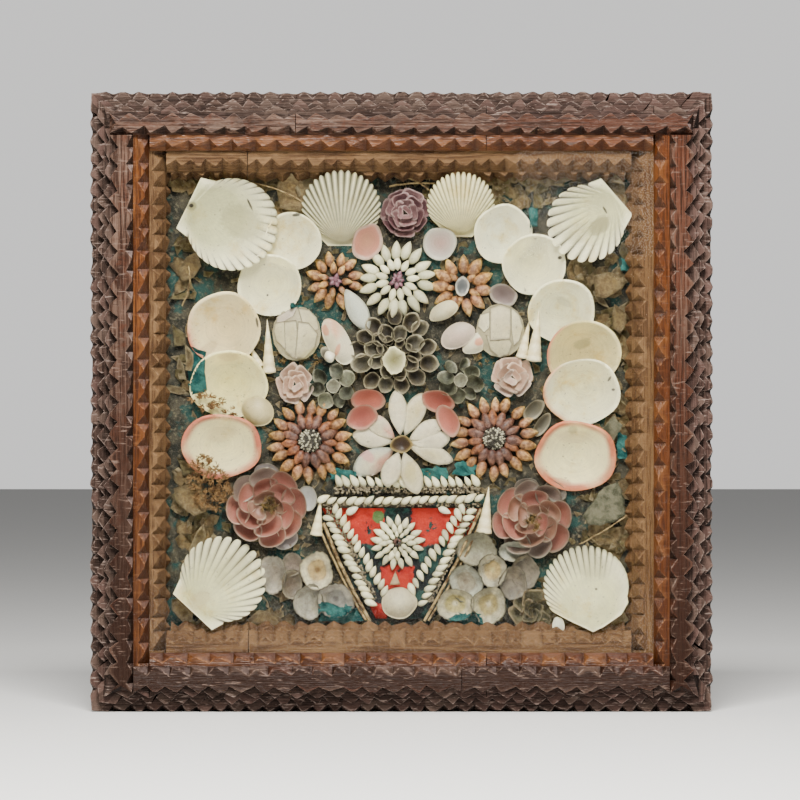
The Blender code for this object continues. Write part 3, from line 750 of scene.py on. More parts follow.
def skin_mesh(rows, columns, point, colour, wall=None):
    """A smooth skin, grown from a middle point in rings, in millimetres.

    point and colour take how far out (0 to 1) and how far round (0 to 1). With a wall it becomes a
    thin sheet with a closed rim; without one the last ring closes to a point and makes a whole body.
    """
    mesh = bmesh.new()
    tint = mesh.verts.layers.float_color.new("tint")
    out = mesh.verts.layers.float.new("reach")
    rings = []
    for i in range(rows + 1):
        reach = i / rows
        alone = i == 0 or (wall is None and i == rows)
        ring = []
        for j in range(1 if alone else columns):
            vert = mesh.verts.new(point(reach, j / columns))
            vert[tint] = (*colour(reach, j / columns), 1.0)
            vert[out] = reach
            ring.append(vert)
        rings.append(ring)
    for inner, outer in zip(rings, rings[1:]):
        for j in range(columns):
            k = (j + 1) % columns
            corners = [inner[j % len(inner)], outer[j % len(outer)], outer[k % len(outer)],
                inner[k % len(inner)]]
            mesh.faces.new(list(dict.fromkeys(corners)))
    if wall:
        bmesh.ops.solidify(mesh, geom=mesh.faces[:], thickness=wall)
    bmesh.ops.recalc_face_normals(mesh, faces=mesh.faces[:])
    for face in mesh.faces:
        face.smooth = True
    return finished("skin", mesh)


def seat(x, z, rise=0.0, turn=0.0, tilt=0.0, toward=90.0):
    """A place on the board, in millimetres and degrees; the piece's own Z faces the front.

    The piece is turned in the board's plane, then the side that lies toward one way is tilted up.
    """
    board = Matrix(((1, 0, 0, x * MM), (0, 0, -1, BOARD_FRONT - rise * MM), (0, 1, 0, z * MM), (0, 0, 0, 1)))
    hinge = Matrix.Rotation(math.radians(toward), 3, "Z") @ Vector((0.0, 1.0, 0.0))
    return (board @ Matrix.Scale(MM, 4) @ Matrix.Rotation(math.radians(-tilt), 4, hinge)
            @ Matrix.Rotation(math.radians(turn), 4, "Z"))


def settled(mesh, x, z, turn=0.0, tilt=0.0, toward=90.0, lift=0.0):
    """The seat at which a tilted piece just rests on the board, or lies lift above it."""
    leaning = seat(x, z, 0.0, turn, tilt, toward)
    reach_back = max((leaning @ vert.co).y for vert in mesh.vertices)
    return Matrix.Translation((0.0, BOARD_FRONT - reach_back - (lift + 0.3) * MM, 0.0)) @ leaning


def laid(mesh, place, material):
    """A piece from a mesh in millimetres, laid at its place."""
    piece = new_piece("shell", mesh, material)
    mesh.transform(place)
    return piece


def mix(first, second, share):
    share = min(1.0, max(0.0, share))
    return tuple(a + (b - a) * share for a, b in zip(first, second))


shell_group, shell_in, shell_out = effect("shell_skin",
    {"Tint": "Color", "Reach": "Float", "Place": "Vector", "Own": "Float", "Growth": "Float",
        "Specks": "Float", "Stain": "Float", "Mottle": "Float"},
    {"Colour": "Color", "Height": "Float"})
place = shell_in["Place"]
bands = noise(vector(shell_group, shell_in["Reach"] * 0.42 + noise(place, 55.0, 2.0) * 0.05), 42.0, 4.0, 0.62)
fine = noise(place, 900.0, 3.0, 0.6)
light_value = ((bands - 0.5) * shell_in["Growth"] + (noise(place, 85.0, 4.0, 0.6) - 0.5) * 0.42
               + (fine - 0.5) * 0.22 + shell_in["Own"] * 0.20)
shell_colour = blend(1.0, shell_in["Tint"], (1.0, 0.990, 0.875), "MULTIPLY")
patches = noise(place, 360.0, 3.0, 0.62)
for low_in, high_in, tone in ((0.53, 0.42, (0.42, 0.31, 0.25)), (0.53, 0.62, (1.35, 1.34, 1.10))):
    shell_colour = blend(spread(patches, low_in, high_in) * shell_in["Mottle"], shell_colour,
                         blend(1.0, shell_colour, tone, "MULTIPLY"))
shell_colour = blend(1.0, shell_colour, light_value + 1.0, "MULTIPLY")
stained = spread(noise(place, 48.0, 5.0, 0.68), 0.50, 0.74) * shell_in["Stain"]
shell_colour = blend(stained, shell_colour, blend(1.0, shell_colour, (0.86, 0.74, 0.44), "MULTIPLY"))
specked = spread(noise(place, 430.0, 2.0, 0.5), 0.68, 0.73) * shell_in["Specks"]
feed(blend(specked, shell_colour, (0.110, 0.075, 0.045)), shell_out["Colour"])
feed(bands * 0.7 + fine * 0.3, shell_out["Height"])


def shell_finish(name, roughness, growth, specks, stain, coat=0.0, relief=0.0004, marks=(),
                 mottle=0.0):
    """Shell: its own tint, with growth rings, stains and specks, and a satin or polished surface.

    marks are holes, slits and stains: (x, z, half length, half width, turn, how strong, colour).
    """
    material, shader, place = finish_with(name, roughness, 0.42)
    shader["Coat Weight"].default_value = coat
    shader["Coat Roughness"].default_value = 0.15
    tree = place.tree
    skin = use(shell_group, tree, Tint=attribute(tree, "tint", "Color"), Reach=attribute(tree, "reach"),
               Own=attribute(tree, "own_shade"), Place=place, Growth=growth, Specks=specks, Stain=stain,
               Mottle=mottle)
    colour = skin["Colour"]
    for x, z, long, wide, turn, strong, tone in marks:
        spot = vector_maths("SUBTRACT", place, (x * MM, 0.0, z * MM))
        spot = mapped(spot, (0.0, math.radians(turn), 0.0), (1.0, 0.0, 1.0))
        spot = mapped(spot, scale=(1 / (long * MM), 0.0, 1 / (wide * MM)))
        away = plug(tree, "ShaderNodeVectorMath", {0: spot}, "Value", operation="LENGTH")
        colour = blend(spread(away + noise(place, 500.0) * 0.6, 1.5, 1.0, 0.0, strong), colour, tone)
    end_finish(shader, colour, skin["Height"], relief, 0.8,
               spread(skin["Height"], 0.3, 0.7, roughness - 0.08, roughness + 0.10))
    return material


def scallop(radius, ribs, fan, depth, rib_height, notch, ears, first_rib=0.25, domed=False, crest=5.0,
        worn_from=-9.0, hollow=(0.78, 0.77, 0.50), rim=(0.98, 0.96, 0.76), groove=(0.10, 0.085, 0.038)):
    """One scallop about its fan's middle, hinge toward -X. fan is half its opening angle.

    ears are the outlines of the two ears, from the fan's end to the middle of the hinge line, in radii.
    first_rib is how far out the ribs begin; notch is how deep they cut into the rim; worn_from is the
    turn, in radians, below which they are worn smooth.
    """
    umbo = Vector((-0.95 * radius, 0.0))
    open_angle = math.radians(fan)
    stations = []
    for i in range(ribs):
        for phase in (0.0, 0.13, 0.32, 0.5, 0.68, 0.87):
            turn = open_angle * (2.0 * (i + phase) / ribs - 1.0)
            sharp = min(1.0, max(0.08, 1.0 + 4.0 * (turn - worn_from)))
            ridge = 1.0 - sharp * abs(2.0 * phase - 1.0) ** crest
            way = math.sqrt(radius ** 2 - (umbo.x * math.sin(turn)) ** 2) - umbo.x * math.cos(turn)
            cut = 1.0 - notch * (1.0 - ridge) * math.cos(turn * 0.6)
            stations.append((umbo + Vector((math.cos(turn), math.sin(turn))) * way * cut, ridge, 1.0))
    for side, ear in ((1, ears[1]), (-1, ears[0])):
        end = umbo + Vector((math.cos(open_angle), side * math.sin(open_angle))) * (
            math.sqrt(radius ** 2 - (umbo.x * math.sin(open_angle)) ** 2) - umbo.x * math.cos(open_angle))
        corners = [end] + [Vector((x * radius, side * y * radius)) for x, y in ear]
        line = [corners[n].lerp(corners[n + 1], s / 4) for n in range(len(corners) - 1) for s in range(4)]
        line = [(spot, 1.0, 0.0) for spot in line] + ([(corners[-1], 1.0, 0.0)] if side > 0 else [])
        stations.extend(line if side > 0 else line[:0:-1])

    def station(round_share):
        return stations[int(round_share * len(stations) + 0.5) % len(stations)]

    def point(reach, round_share):
        end, ridge, in_fan = station(round_share)
        spot = umbo.lerp(end, reach ** 0.8)
        swell = min(1.0, spot.length / radius)
        height = depth * (1.0 - swell ** 2 if domed else swell ** 2.2)
        grown = max(0.0, reach - first_rib) / (1.0 - first_rib)
        height += in_fan * rib_height * grown ** 1.1 * (ridge - 0.6)
        if not in_fan:
            height -= (0.06 if domed else 0.02) * radius * math.sin(math.pi * min(1.0, reach)) * 0.5
        return (spot.x, spot.y, height)

    def colour(reach, round_share):
        end, ridge, in_fan = station(round_share)
        own = mix(hollow, rim, (reach - 0.50) * 2.6 if not domed else reach)
        # Painted shade: the inside darkens a little between the ribs, and the grooves of the ribbed part take
        # the dark groove colour.
        own = tuple(value * (0.93 + 0.07 * ridge) for value in own)
        if in_fan:
            grown = max(0.0, reach - first_rib) / (1.0 - first_rib)
            own = mix(own, groove, (1.0 - ridge) * (1.3 * grown if domed else 1.5 * grown ** 1.4))
        return own

    return skin_mesh(24, len(stations), point, colour, 0.9)


HOLE, OLIVE, TAN_STAIN = (0.020, 0.014, 0.008), (0.330, 0.300, 0.140), (0.480, 0.330, 0.150)
ivory = shell_finish("ivory_scallop", 0.46, growth=0.30, specks=0.45, stain=0.75,
    marks=((-155.2, 373.6, 4.0, 3.4, 0, 0.75, OLIVE), (-155.4, 373.9, 1.9, 1.6, 0, 0.95, HOLE),
        (-112.4, 375.2, 5.0, 0.8, -65, 0.9, HOLE), (-118, 362, 17, 13, -30, 0.40, OLIVE),
        (147, 359.6, 9.0, 6.0, 40, 0.75, OLIVE), (151, 371, 3.0, 0.8, -60, 0.85, HOLE),
        (132, 355, 12, 7, 30, 0.32, OLIVE), (-126, 104, 17, 10, 40, 0.26, OLIVE),
        (-150, 82, 10, 6, 40, 0.25, TAN_STAIN), (144.5, 90, 1.0, 1.0, 0, 0.8, HOLE),
        (139, 109, 16, 11, -30, 0.26, OLIVE)))
cream = shell_finish("cream_scallop", 0.55, growth=0.35, specks=0.20, stain=0.60,
    marks=((43.9, 349, 9, 3.5, 0, 0.6, TAN_STAIN),))
full_ears = (((-1.06, 0.61), (-1.06, 0.0)), ((-1.06, 0.61), (-1.06, 0.0)))
one_ear = (((-0.58, 0.90), (-0.84, 0.68), (-1.12, 0.05)), ((-1.12, 0.05),))
small_ears = (((-1.04, 0.34), (-1.04, 0.0)), ((-1.04, 0.34), (-1.04, 0.0)))
scallop_pieces = []
for corner, values, place in (("top_left",
            {"radius": 34.2, "ribs": 24, "fan": 72, "depth": 11.0, "rib_height": 0.7, "notch": 0.022,
                "ears": full_ears, "first_rib": 0.72, "hollow": (0.68, 0.68, 0.44)},
            (-126.6, 360.9, -26, 9, 154, 7.0)),
        ("top_right",
            {"radius": 28.8, "ribs": 16, "fan": 68, "depth": 9.5, "rib_height": 2.2, "notch": 0.12,
                "ears": full_ears, "first_rib": 0.30},
            (137.2, 361.6, 221, 6, 41, 4.0)),
        ("bottom_left",
            {"radius": 32.2, "ribs": 20, "fan": 70, "depth": 10.5, "rib_height": 2.4, "notch": 0.10,
                "ears": full_ears, "first_rib": 0.35},
            (-134.4, 95.2, 47, 18, 227, 1.2)),
        ("bottom_right",
            {"radius": 31.6, "ribs": 25, "fan": 60, "depth": 10.0, "rib_height": 1.5, "notch": 0.085,
                "ears": one_ear, "first_rib": 0.55, "worn_from": -0.30},
            (137.2, 89.0, 101, 19, 281, 1.2))):
    mesh = scallop(**values)
    piece = laid(mesh, settled(mesh, *place), ivory)
    piece.name = f"scallop_shell_{corner}"
    keep(piece, "ivory_shell", f"scallop_{corner}")
    scallop_pieces.append(piece)
for side, values, place in (("left",
            {"radius": 29.5, "ribs": 23, "fan": 62, "depth": 9.5, "rib_height": 2.2, "notch": 0.05,
                "ears": small_ears, "first_rib": 0.04, "crest": 1.5, "hollow": (0.70, 0.67, 0.47),
                "rim": (0.88, 0.85, 0.64), "groove": (0.085, 0.082, 0.042)},
            (-44.6, 373.4, 90, 22, 90, 0.0)),
        ("right",
            {"radius": 25.2, "ribs": 24, "fan": 60, "depth": 8.5, "rib_height": 1.0, "notch": 0.08,
                "ears": small_ears, "first_rib": 0.06, "crest": 3.0, "hollow": (0.80, 0.74, 0.44),
                "rim": (0.97, 0.93, 0.66), "groove": (0.27, 0.23, 0.10)},
            (43.9, 375.8, 90, 22, 90, 1.5))):
    mesh = scallop(domed=True, **values)
    piece = laid(mesh, settled(mesh, *place), cream)
    piece.name = f"scallop_fan_shell_{side}"
    keep(piece, "cream_shell", f"scallop_fan_{side}")
    scallop_pieces.append(piece)


# ---------------------------------------------------------------------------------------------------
# Disc shells: round ivory valves down both sides, hollow to the front, each lapping over the one
# above it. Some have a pink or orange rim, and one is brushed with the ground's teal paint.
def valve(length, width, depth, colour, wall=0.7, rows=9, columns=40, beak=0.0, ripple=0.004, uneven=0.02,
        seed=1, crimp=0.0):
    """An oval valve, hollow to the front, its hinge toward -X. colour is as for skin_mesh."""
    chances = random.Random(seed)
    swings = [(chances.uniform(-uneven, uneven), chances.uniform(0, 6.3)) for _ in range(4)]

    def point(reach, round_share):
        turn = 2 * math.pi * round_share
        wobble = 1 + sum(size * math.cos((n + 2) * turn + start) for n, (size, start) in enumerate(swings))
        back = max(0.0, -math.cos(turn)) ** 6
        wobble += beak * back
        wobble += crimp * reach ** 4 * math.cos(
            math.pi * columns * round_share) * (1 + 0.6 * math.sin(5 * turn))
        height = depth * reach ** 2 + length * ripple * math.sin(26 * reach) * reach
        return (0.5 * length * reach * wobble * math.cos(turn), 0.5 * width * reach * wobble * math.sin(turn),
                height - 0.04 * depth * back * reach)

    return skin_mesh(rows, columns, point, colour, wall)


def ringed(middle, margin, rim=None, rim_from=0.86, toward=None, spread_round=0.5):
    """A valve's colour from the middle to the margin, and a rim colour all round or toward one side."""
    def colour(reach, round_share):
        own = mix(middle, margin, reach ** 1.5)
        if rim:
            turn = 2 * math.pi * round_share
            uneven = 1.0 + 0.35 * math.sin(3 * turn + 1.0) + 0.25 * math.sin(7 * turn + 40 * rim_from)
            share = (reach - rim_from) / (1.0 - rim_from) * 1.6 * uneven
            if toward is not None:
                away = abs((round_share - toward / 360.0 + 0.5) % 1.0 - 0.5) * 2.0
                share *= max(0.0, 1.0 - away / spread_round)
            own = mix(own, rim, share)
        return own
    return colour


IVORY, PALE, PINK, ORANGE = (0.86, 0.83, 0.57), (0.99, 0.97, 0.78), (0.62, 0.20, 0.13), (0.72, 0.30, 0.12)
disc_finish = shell_finish("disc_shell", 0.50, growth=0.44, specks=0.50, stain=1.0,
    marks=((-78, 367.5, 3.2, 1.2, 5, 0.85, HOLE), (-99.6, 308.3, 0.9, 0.8, 0, 0.9, HOLE),
        (-107, 288, 0.9, 4.0, 10, 0.8, HOLE), (-144, 268, 9, 4, 40, 0.35, TAN_STAIN),
        (117.5, 336, 1.6, 1.4, 0, 0.9, HOLE), (134, 272, 7, 4, 20, 0.45, OLIVE),
        (154, 246, 2.2, 0.9, 60, 0.8, HOLE), (157, 238, 1.4, 1.0, 0, 0.8, HOLE),
        (121, 303, 7, 3, -30, 0.25, OLIVE), (-128, 262, 8, 3, 0, 0.30, TAN_STAIN),
        (-134, 205, 12, 6, 10, 0.22, TAN_STAIN), (128, 203, 14, 5, 0, 0.22, TAN_STAIN),
        (127, 208, 3.5, 3.0, 0, 0.35, OLIVE), (118, 170, 9, 2.4, -12, 0.35, (0.45, 0.09, 0.05)),
        (-103, 186, 2.5, 8, 20, 0.45, (0.62, 0.27, 0.08))))
DISCS = {"left": ((-80.1, 349.1, 43.0, 43.0, 10, 60, 4.0, ringed((0.84, 0.81, 0.60), PALE)),
        (-97.0, 317.3, 49.0, 46.5, 14, 60, 0.0, ringed(IVORY, PALE)),
        (-130.3, 284.9, 56.0, 55.0, 14, 45, 0.0,
            ringed((0.82, 0.69, 0.42), (0.92, 0.82, 0.56), PINK, 0.86, 210, 0.34)),
        (-128.0, 244.3, 58.0, 52.0, 15, 90, 0.0, ringed((0.84, 0.77, 0.36), (0.96, 0.91, 0.58))),
        (-133.6, 197.8, 60.0, 49.0, 10, 90, 0.0, ringed((0.88, 0.82, 0.50), (0.95, 0.86, 0.56), PINK, 0.80))),
    "right": ((74.2, 355.0, 43.5, 44.3, 14, 120, 4.0, ringed((0.84, 0.85, 0.72), PALE)),
        (96.7, 332.8, 49.0, 46.5, 20, 135, 0.0, ringed(IVORY, PALE)),
        (117.7, 298.2, 50.2, 50.2, 18, 120, 0.0, ringed((0.82, 0.81, 0.60), PALE)),
        (133.9, 267.2, 55.4, 53.1, 20, 115, 0.0,
            ringed((0.74, 0.63, 0.34), (0.84, 0.76, 0.46), PINK, 0.88, 175, 0.35)),
        (133.9, 239.8, 56.8, 53.1, 22, 90, 1.0, ringed((0.90, 0.87, 0.60), PALE, ORANGE, 0.88, 190, 0.4)),
        (129.2, 191.0, 61.3, 54.0, 14, 90, 0.0,
            ringed((0.92, 0.87, 0.56), (0.96, 0.88, 0.58), (0.64, 0.22, 0.12), 0.78)))}
disc_runs = []
for side, discs in DISCS.items():
    pieces = []
    for number, (x, z, width, height, tilt, toward, lift, colour) in enumerate(discs):
        mesh = valve(width, height, 0.16 * width, colour, seed=20 + number + (10 if side == "left" else 0))
        pieces.append(laid(mesh, settled(mesh, x, z, 0, tilt, toward, lift), disc_finish))
    run = join_pieces(f"disc_valves_{side}", pieces)
    keep(run, "ivory_shell", *(f"disc_shell_{side}_{n + 1}" for n in range(len(discs))))
    disc_runs.append(run)


# ---------------------------------------------------------------------------------------------------
# Mounds: low pads of dark wax and putty under each flower and bud, brushed with the teal paint. The
# shells are pressed into them.
def plate(outline, height, colour, wall, rows, finer):
    """A thin plate with the given outline about (0, 0), lifted by height(x, y), in millimetres."""
    corners = [Vector(spot) for spot in outline]
    line = [corners[n].lerp(corners[(n + 1) % len(corners)], s / finer) for n in range(len(corners))
            for s in range(finer)]

    def point(reach, round_share):
        spot = line[int(round_share * len(line) + 0.5) % len(line)] * reach
        return (spot.x, spot.y, height(spot.x, spot.y))

    return skin_mesh(rows, len(line), point, colour, wall)


def oval(width, height, points=16):
    return [(width / 2 * math.cos(2 * math.pi * n / points), height / 2 * math.sin(2 * math.pi * n / points))
            for n in range(points)]


mound_pieces = []
for x, z, across, up, rise in ((-3.3, 319.6, 40, 40, 4.5), (-49.1, 318.8, 28, 28, 4.0),
        (45.1, 314.7, 28, 28, 4.0), (-5.5, 265.7, 48, 48, 4.5), (-0.1, 199.0, 34, 34, 6.0),
        (-68.0, 200.1, 48, 48, 4.5), (68.8, 201.8, 46, 46, 4.5), (-100.4, 150.6, 44, 44, 6.0),
        (97.0, 141.0, 44, 42, 6.0), (2.3, 369.0, 28, 28, 6.0), (-77.9, 279.7, 28, 32, 6.0),
        (73.4, 281.9, 28, 31, 6.0), (-80.1, 242.1, 23, 26, 5.0), (82.1, 247.4, 27, 26, 5.0),
        (-50.6, 240.6, 27, 27, 3.5), (43.9, 245.0, 27, 27, 3.5)):
    mound = plate(oval(across, up), lambda x, y: rise * (1 - (2 * x / across) ** 2 - (2 * y / up) ** 2) + 1.0,
                  lambda reach, share: (0.04, 0.05, 0.04), wall=0.8, rows=4, finer=1)
    mound_pieces.append(laid(mound, seat(x, z, 0.0), painted))
keep(join_pieces("wax_mounds", mound_pieces), "teal_paper")


# ---------------------------------------------------------------------------------------------------
# Flowers: rings of small whole shells and valves glued petal by petal round a middle, each petal
# about the size of a grain of barley or bigger.
def picked(tree, given, points, choice, rotation, scale, own_shade):
    """Copies of the two pattern shells on points, either one by a choice of 0 or 1, then the material."""
    both = tree.nodes.new("GeometryNodeGeometryToInstance")
    for pattern in ("Second Shell", "First Shell"):
        feed(plug(tree, "GeometryNodeObjectInfo", {"Object": given[pattern]}, "Geometry"), both.inputs[0])
    shells = plug(tree, "GeometryNodeInstanceOnPoints",
        {"Points": points, "Instance": Wire(tree, both.outputs[0]), "Pick Instance": True,
            "Instance Index": choice, "Rotation": rotation, "Scale": scale})
    return end_tree(stored(shells, "own_shade", own_shade, "INSTANCE"), given["Material"])


def ring_of_petals():
    tree, given = geometry_tree("petal_ring",
        ("Radius", "Rise", "Tilt", "Roll", "Start", "Size", "Unevenness"), Int=("Count",),
        Object=("First Shell", "Second Shell"))
    number = plug(tree, "GeometryNodeInputIndex")

    def stray(size, step):
        """A random float about zero for each petal, as wide as size times the ring's unevenness."""
        return given["Unevenness"] * chance(-size, size, number, given["Seed"] + step)

    turn = (number + stray(0.13, 1.0)) / given["Count"] * (2 * math.pi) + given["Start"]
    out = given["Radius"] * (1.0 + stray(0.045, 2.0))
    spot = vector(tree, out * maths("COSINE", turn), out * maths("SINE", turn),
        given["Rise"] + stray(0.35, 3.0))
    points = plug(tree, "GeometryNodePoints", {"Count": given["Count"], "Position": spot})
    lean = vector(tree, given["Roll"] + stray(0.16, 4.0), stray(0.10, 5.0) - given["Tilt"],
        turn + stray(0.12, 6.0))
    return picked(tree, given, points, chance(0.0, 1.0, number, given["Seed"]) > 0.5, lean,
                  given["Size"] * (1.0 + stray(0.09, 7.0)), chance(-1.0, 1.0, number, given["Seed"] + 8.0))


ring_tree = ring_of_petals()


def pattern_shell(mesh):
    """A shell that trees copy: kept off the scene, and removed at the end."""
    patterns.append(bpy.data.objects.new("pattern", mesh))
    return patterns[-1]


def spindle(length, width, colour, tip=0.78, rows=7, columns=7, thick=0.8):
    """A small whole snail shell along X, its point toward +X. colour takes how far along (0 to 1)."""
    def point(along, round_share):
        body = math.sin(math.pi * min(1.0, along) ** tip) ** 0.80 if 0 < along < 1 else 0.0
        turn = 2 * math.pi * round_share
        return ((along - 0.5) * length, 0.5 * width * body * math.cos(turn),
                0.5 * width * thick * body * math.sin(turn))
    return skin_mesh(rows, columns, point, lambda along, share: colour(along))


def along(*stops):
    """A colour that runs evenly through the given stops."""
    def colour(share):
        spot = min(0.999, max(0.0, share)) * (len(stops) - 1)
        return mix(stops[int(spot)], stops[int(spot) + 1], spot - int(spot))
    return colour


def petal_ring(first, second, material, count, radius, rise, tilt=0.0, roll=0.0, start=0.0, size=1.0,
        uneven=1.0, seed=1):
    return grow(ring_tree,
        {"First Shell": first, "Second Shell": second, "Count": count, "Radius": float(radius),
            "Rise": float(rise), "Tilt": math.radians(tilt), "Roll": math.radians(roll),
            "Start": math.radians(start), "Size": float(size), "Unevenness": float(uneven), "Seed": seed,
            "Material": material})


def whole_shell(length, width, *stops, **shape):
    """A small whole shell for the trees to copy; its colour runs through the stops."""
    return pattern_shell(spindle(length, width, along(*stops), **shape))


patterns = []
BEAD = {"tip": 1.0, "rows": 5, "columns": 6, "thick": 1.0}
WHITE, CREAM, BROWN, MAUVE_BROWN, TIP = ((0.58, 0.57, 0.41), (0.56, 0.48, 0.28), (0.170, 0.084, 0.036),
                                         (0.115, 0.056, 0.042), (0.500, 0.360, 0.120))
white_seed = whole_shell(16.0, 7.9, (0.40, 0.38, 0.26), WHITE, (0.68, 0.66, 0.48), CREAM)
green_seed = whole_shell(15.5, 7.6, (0.32, 0.32, 0.22), (0.50, 0.49, 0.34), WHITE)
tan_seed = whole_shell(14.4, 8.2, BROWN, (0.235, 0.118, 0.048), (0.33, 0.185, 0.074), TIP)
pink_seed = whole_shell(13.8, 7.8, (0.15, 0.070, 0.040), (0.29, 0.140, 0.074), (0.36, 0.215, 0.100),
    (0.56, 0.42, 0.17))
mauve_seed = whole_shell(14.8, 8.2, (0.06, 0.024, 0.020), MAUVE_BROWN, (0.17, 0.070, 0.042))
rust_seed = whole_shell(14.2, 7.8, (0.11, 0.04, 0.024), (0.20, 0.075, 0.034), (0.25, 0.10, 0.042))
purple_seed = whole_shell(6.5, 4.0, (0.09, 0.038, 0.060), (0.18, 0.080, 0.115), (0.11, 0.046, 0.070))
dark_bead = whole_shell(2.6, 2.6, (0.020, 0.018, 0.014), (0.05, 0.045, 0.036), **BEAD)
pale_bead = whole_shell(2.6, 1.9, (0.30, 0.29, 0.23), (0.46, 0.44, 0.36), **BEAD)
PINK_BLUSH, YELLOW_STAIN, ORANGE_PATCH = (0.76, 0.36, 0.34), (0.66, 0.60, 0.28), (0.74, 0.31, 0.15)
white_finish = shell_finish("white_shell", 0.48, growth=0.34, specks=0.40, stain=0.50, marks=(
    (-26.2, 189.6, 4, 8, 50, 0.60, PINK_BLUSH), (6.4, 176.0, 4, 8, 10, 0.40, YELLOW_STAIN),
    (-66, 264, 9, 5, 20, 0.55, YELLOW_STAIN), (-15, 219, 5, 3, 40, 0.35, PINK_BLUSH)), mottle=0.10)
brown_finish = shell_finish("brown_shell", 0.46, growth=1.10, specks=0.75, stain=0.60, coat=0.06,
    relief=0.0012, mottle=0.85)
grey_finish = shell_finish("grey_shell", 0.55, growth=0.60, specks=0.40, stain=0.35, relief=0.0008,
    mottle=0.40)
mauve_finish = shell_finish("mauve_shell", 0.40, growth=0.60, specks=0.30, stain=0.35, coat=0.12, marks=(
    (-56.4, 282.0, 2.6, 4.6, 20, 0.75, ORANGE_PATCH), (-47.4, 267.5, 1.8, 5.0, -20, 0.70, ORANGE_PATCH),
    (57.5, 273.5, 3.6, 3.0, 30, 0.80, ORANGE_PATCH)))
purple_finish = shell_finish("purple_shell", 0.40, growth=0.45, specks=0.20, stain=0.20, coat=0.10,
    mottle=0.30)


def bunch(name, x, z, slot, cad_name, *parts):
    """Join the parts of a flower or row, set it on the board, and let it stand for its CAD node."""
    whole = join_pieces(name, parts)
    whole.data.transform(seat(x, z))
    keep(whole, slot, *filter(None, [cad_name]))


def middle(piece_mesh, material, rise, x=0.0, y=0.0, turn=0.0, tilt=0.0):
    """A flower's middle, in the flower's own millimetres."""
    piece_mesh.transform(Matrix.Translation((x, y, rise)) @ Matrix.Rotation(math.radians(turn), 4, "Z")
                         @ Matrix.Rotation(math.radians(tilt), 4, "X"))
    return new_piece("middle", piece_mesh, material)


bunch("white_daisy_petals", -3.3, 319.6, "white_shell", "flower_white_daisy",
    petal_ring(white_seed, green_seed, white_finish, 17, 22.0, 4.8, -10, start=8, uneven=0.8, seed=11),
    petal_ring(white_seed, white_seed, white_finish, 13, 12.0, 7.4, -16, start=3, size=0.72, uneven=0.8,
        seed=12),
    petal_ring(purple_seed, dark_bead, purple_finish, 7, 4.6, 7.6, 8, size=0.9, uneven=2.5, seed=13),
    petal_ring(dark_bead, purple_seed, purple_finish, 9, 2.6, 8.0, 10, size=0.9, uneven=3.0, seed=14))
bunch(
    "brown_flower_upper_left_petals", -49.1, 318.8, "brown_shell", "flower_brown_upper_left",
    petal_ring(tan_seed, pink_seed, brown_finish, 12, 16.0, 4.6, -10, start=15, size=0.92, seed=21),
    petal_ring(tan_seed, pink_seed, brown_finish, 7, 9.0, 6.6, 12, size=0.66, uneven=1.6, seed=22),
    petal_ring(purple_seed, purple_seed, purple_finish, 5, 2.5, 7.8, 20, size=1.0, uneven=1.5, seed=23),
    petal_ring(purple_seed, purple_seed, purple_finish, 1, 0.3, 9.0, 60, seed=24))
bunch("brown_flower_upper_right_petals", 45.1, 314.7, "brown_shell", "flower_brown_upper_right",
    petal_ring(tan_seed, pink_seed, brown_finish, 11, 16.4, 4.8, -6, start=20, size=1.14, seed=31),
    petal_ring(pink_seed, tan_seed, brown_finish, 5, 9.6, 6.2, 8, start=50, size=0.62, uneven=1.5, seed=32),
    middle(valve(14.5, 10.5, 2.6, ringed((0.10, 0.11, 0.12), (0.30, 0.31, 0.33), (0.90, 0.88, 0.84), 0.70),
            wall=0.8, rows=6, columns=20, beak=0.05, seed=5),
        mauve_finish, 6.8, turn=84))
for side, x, z, seed in (("left", -68.0, 200.1, 41), ("right", 68.8, 201.8, 51)):
    dome = [petal_ring(pale_bead, dark_bead, grey_finish, count, radius, rise, 0, start=17 * count, size=0.95,
            uneven=1.0, seed=seed + count)
        for count, radius, rise in ((26, 7.5, 9.2), (21, 6.0, 10.9), (15, 4.4, 12.3), (10, 2.8, 13.1),
            (5, 1.2, 13.6))]
    base = middle(skin_mesh(5, 16,
            lambda reach, share: (7.6 * math.sin(math.pi / 2 * reach) * math.cos(2 * math.pi * share),
                7.6 * math.sin(math.pi / 2 * reach) * math.sin(2 * math.pi * share),
                6.2 * math.cos(math.pi / 2 * reach)),
            lambda reach, share: (0.07, 0.06, 0.05), 0.6),
        grey_finish, 7.2)
    bunch(
        f"brown_flower_lower_{side}_petals", x, z, "brown_shell", f"flower_brown_lower_{side}",
        petal_ring(tan_seed, pink_seed, brown_finish, 18, 25.4, 4.6, -10, start=9, size=1.0, seed=seed),
        petal_ring(mauve_seed, rust_seed, brown_finish, 15, 15.0, 7.2, -14, start=20, seed=seed + 1),
        base, *dome)


# ---------------------------------------------------------------------------------------------------
# Cup flower: rings of little limpets and barnacle cups, their pale rims to the front round dark
# hollows, with one white limpet in the middle.
def cup(across, deep, seed, long, columns, *tones):
    """A little cup, a bit longer than it is across, with a rim of its own colour."""
    return valve(across * long, across, deep, ringed(*tones), wall=0.55, rows=5, columns=columns, ripple=0.0,
        uneven=0.05, seed=seed)


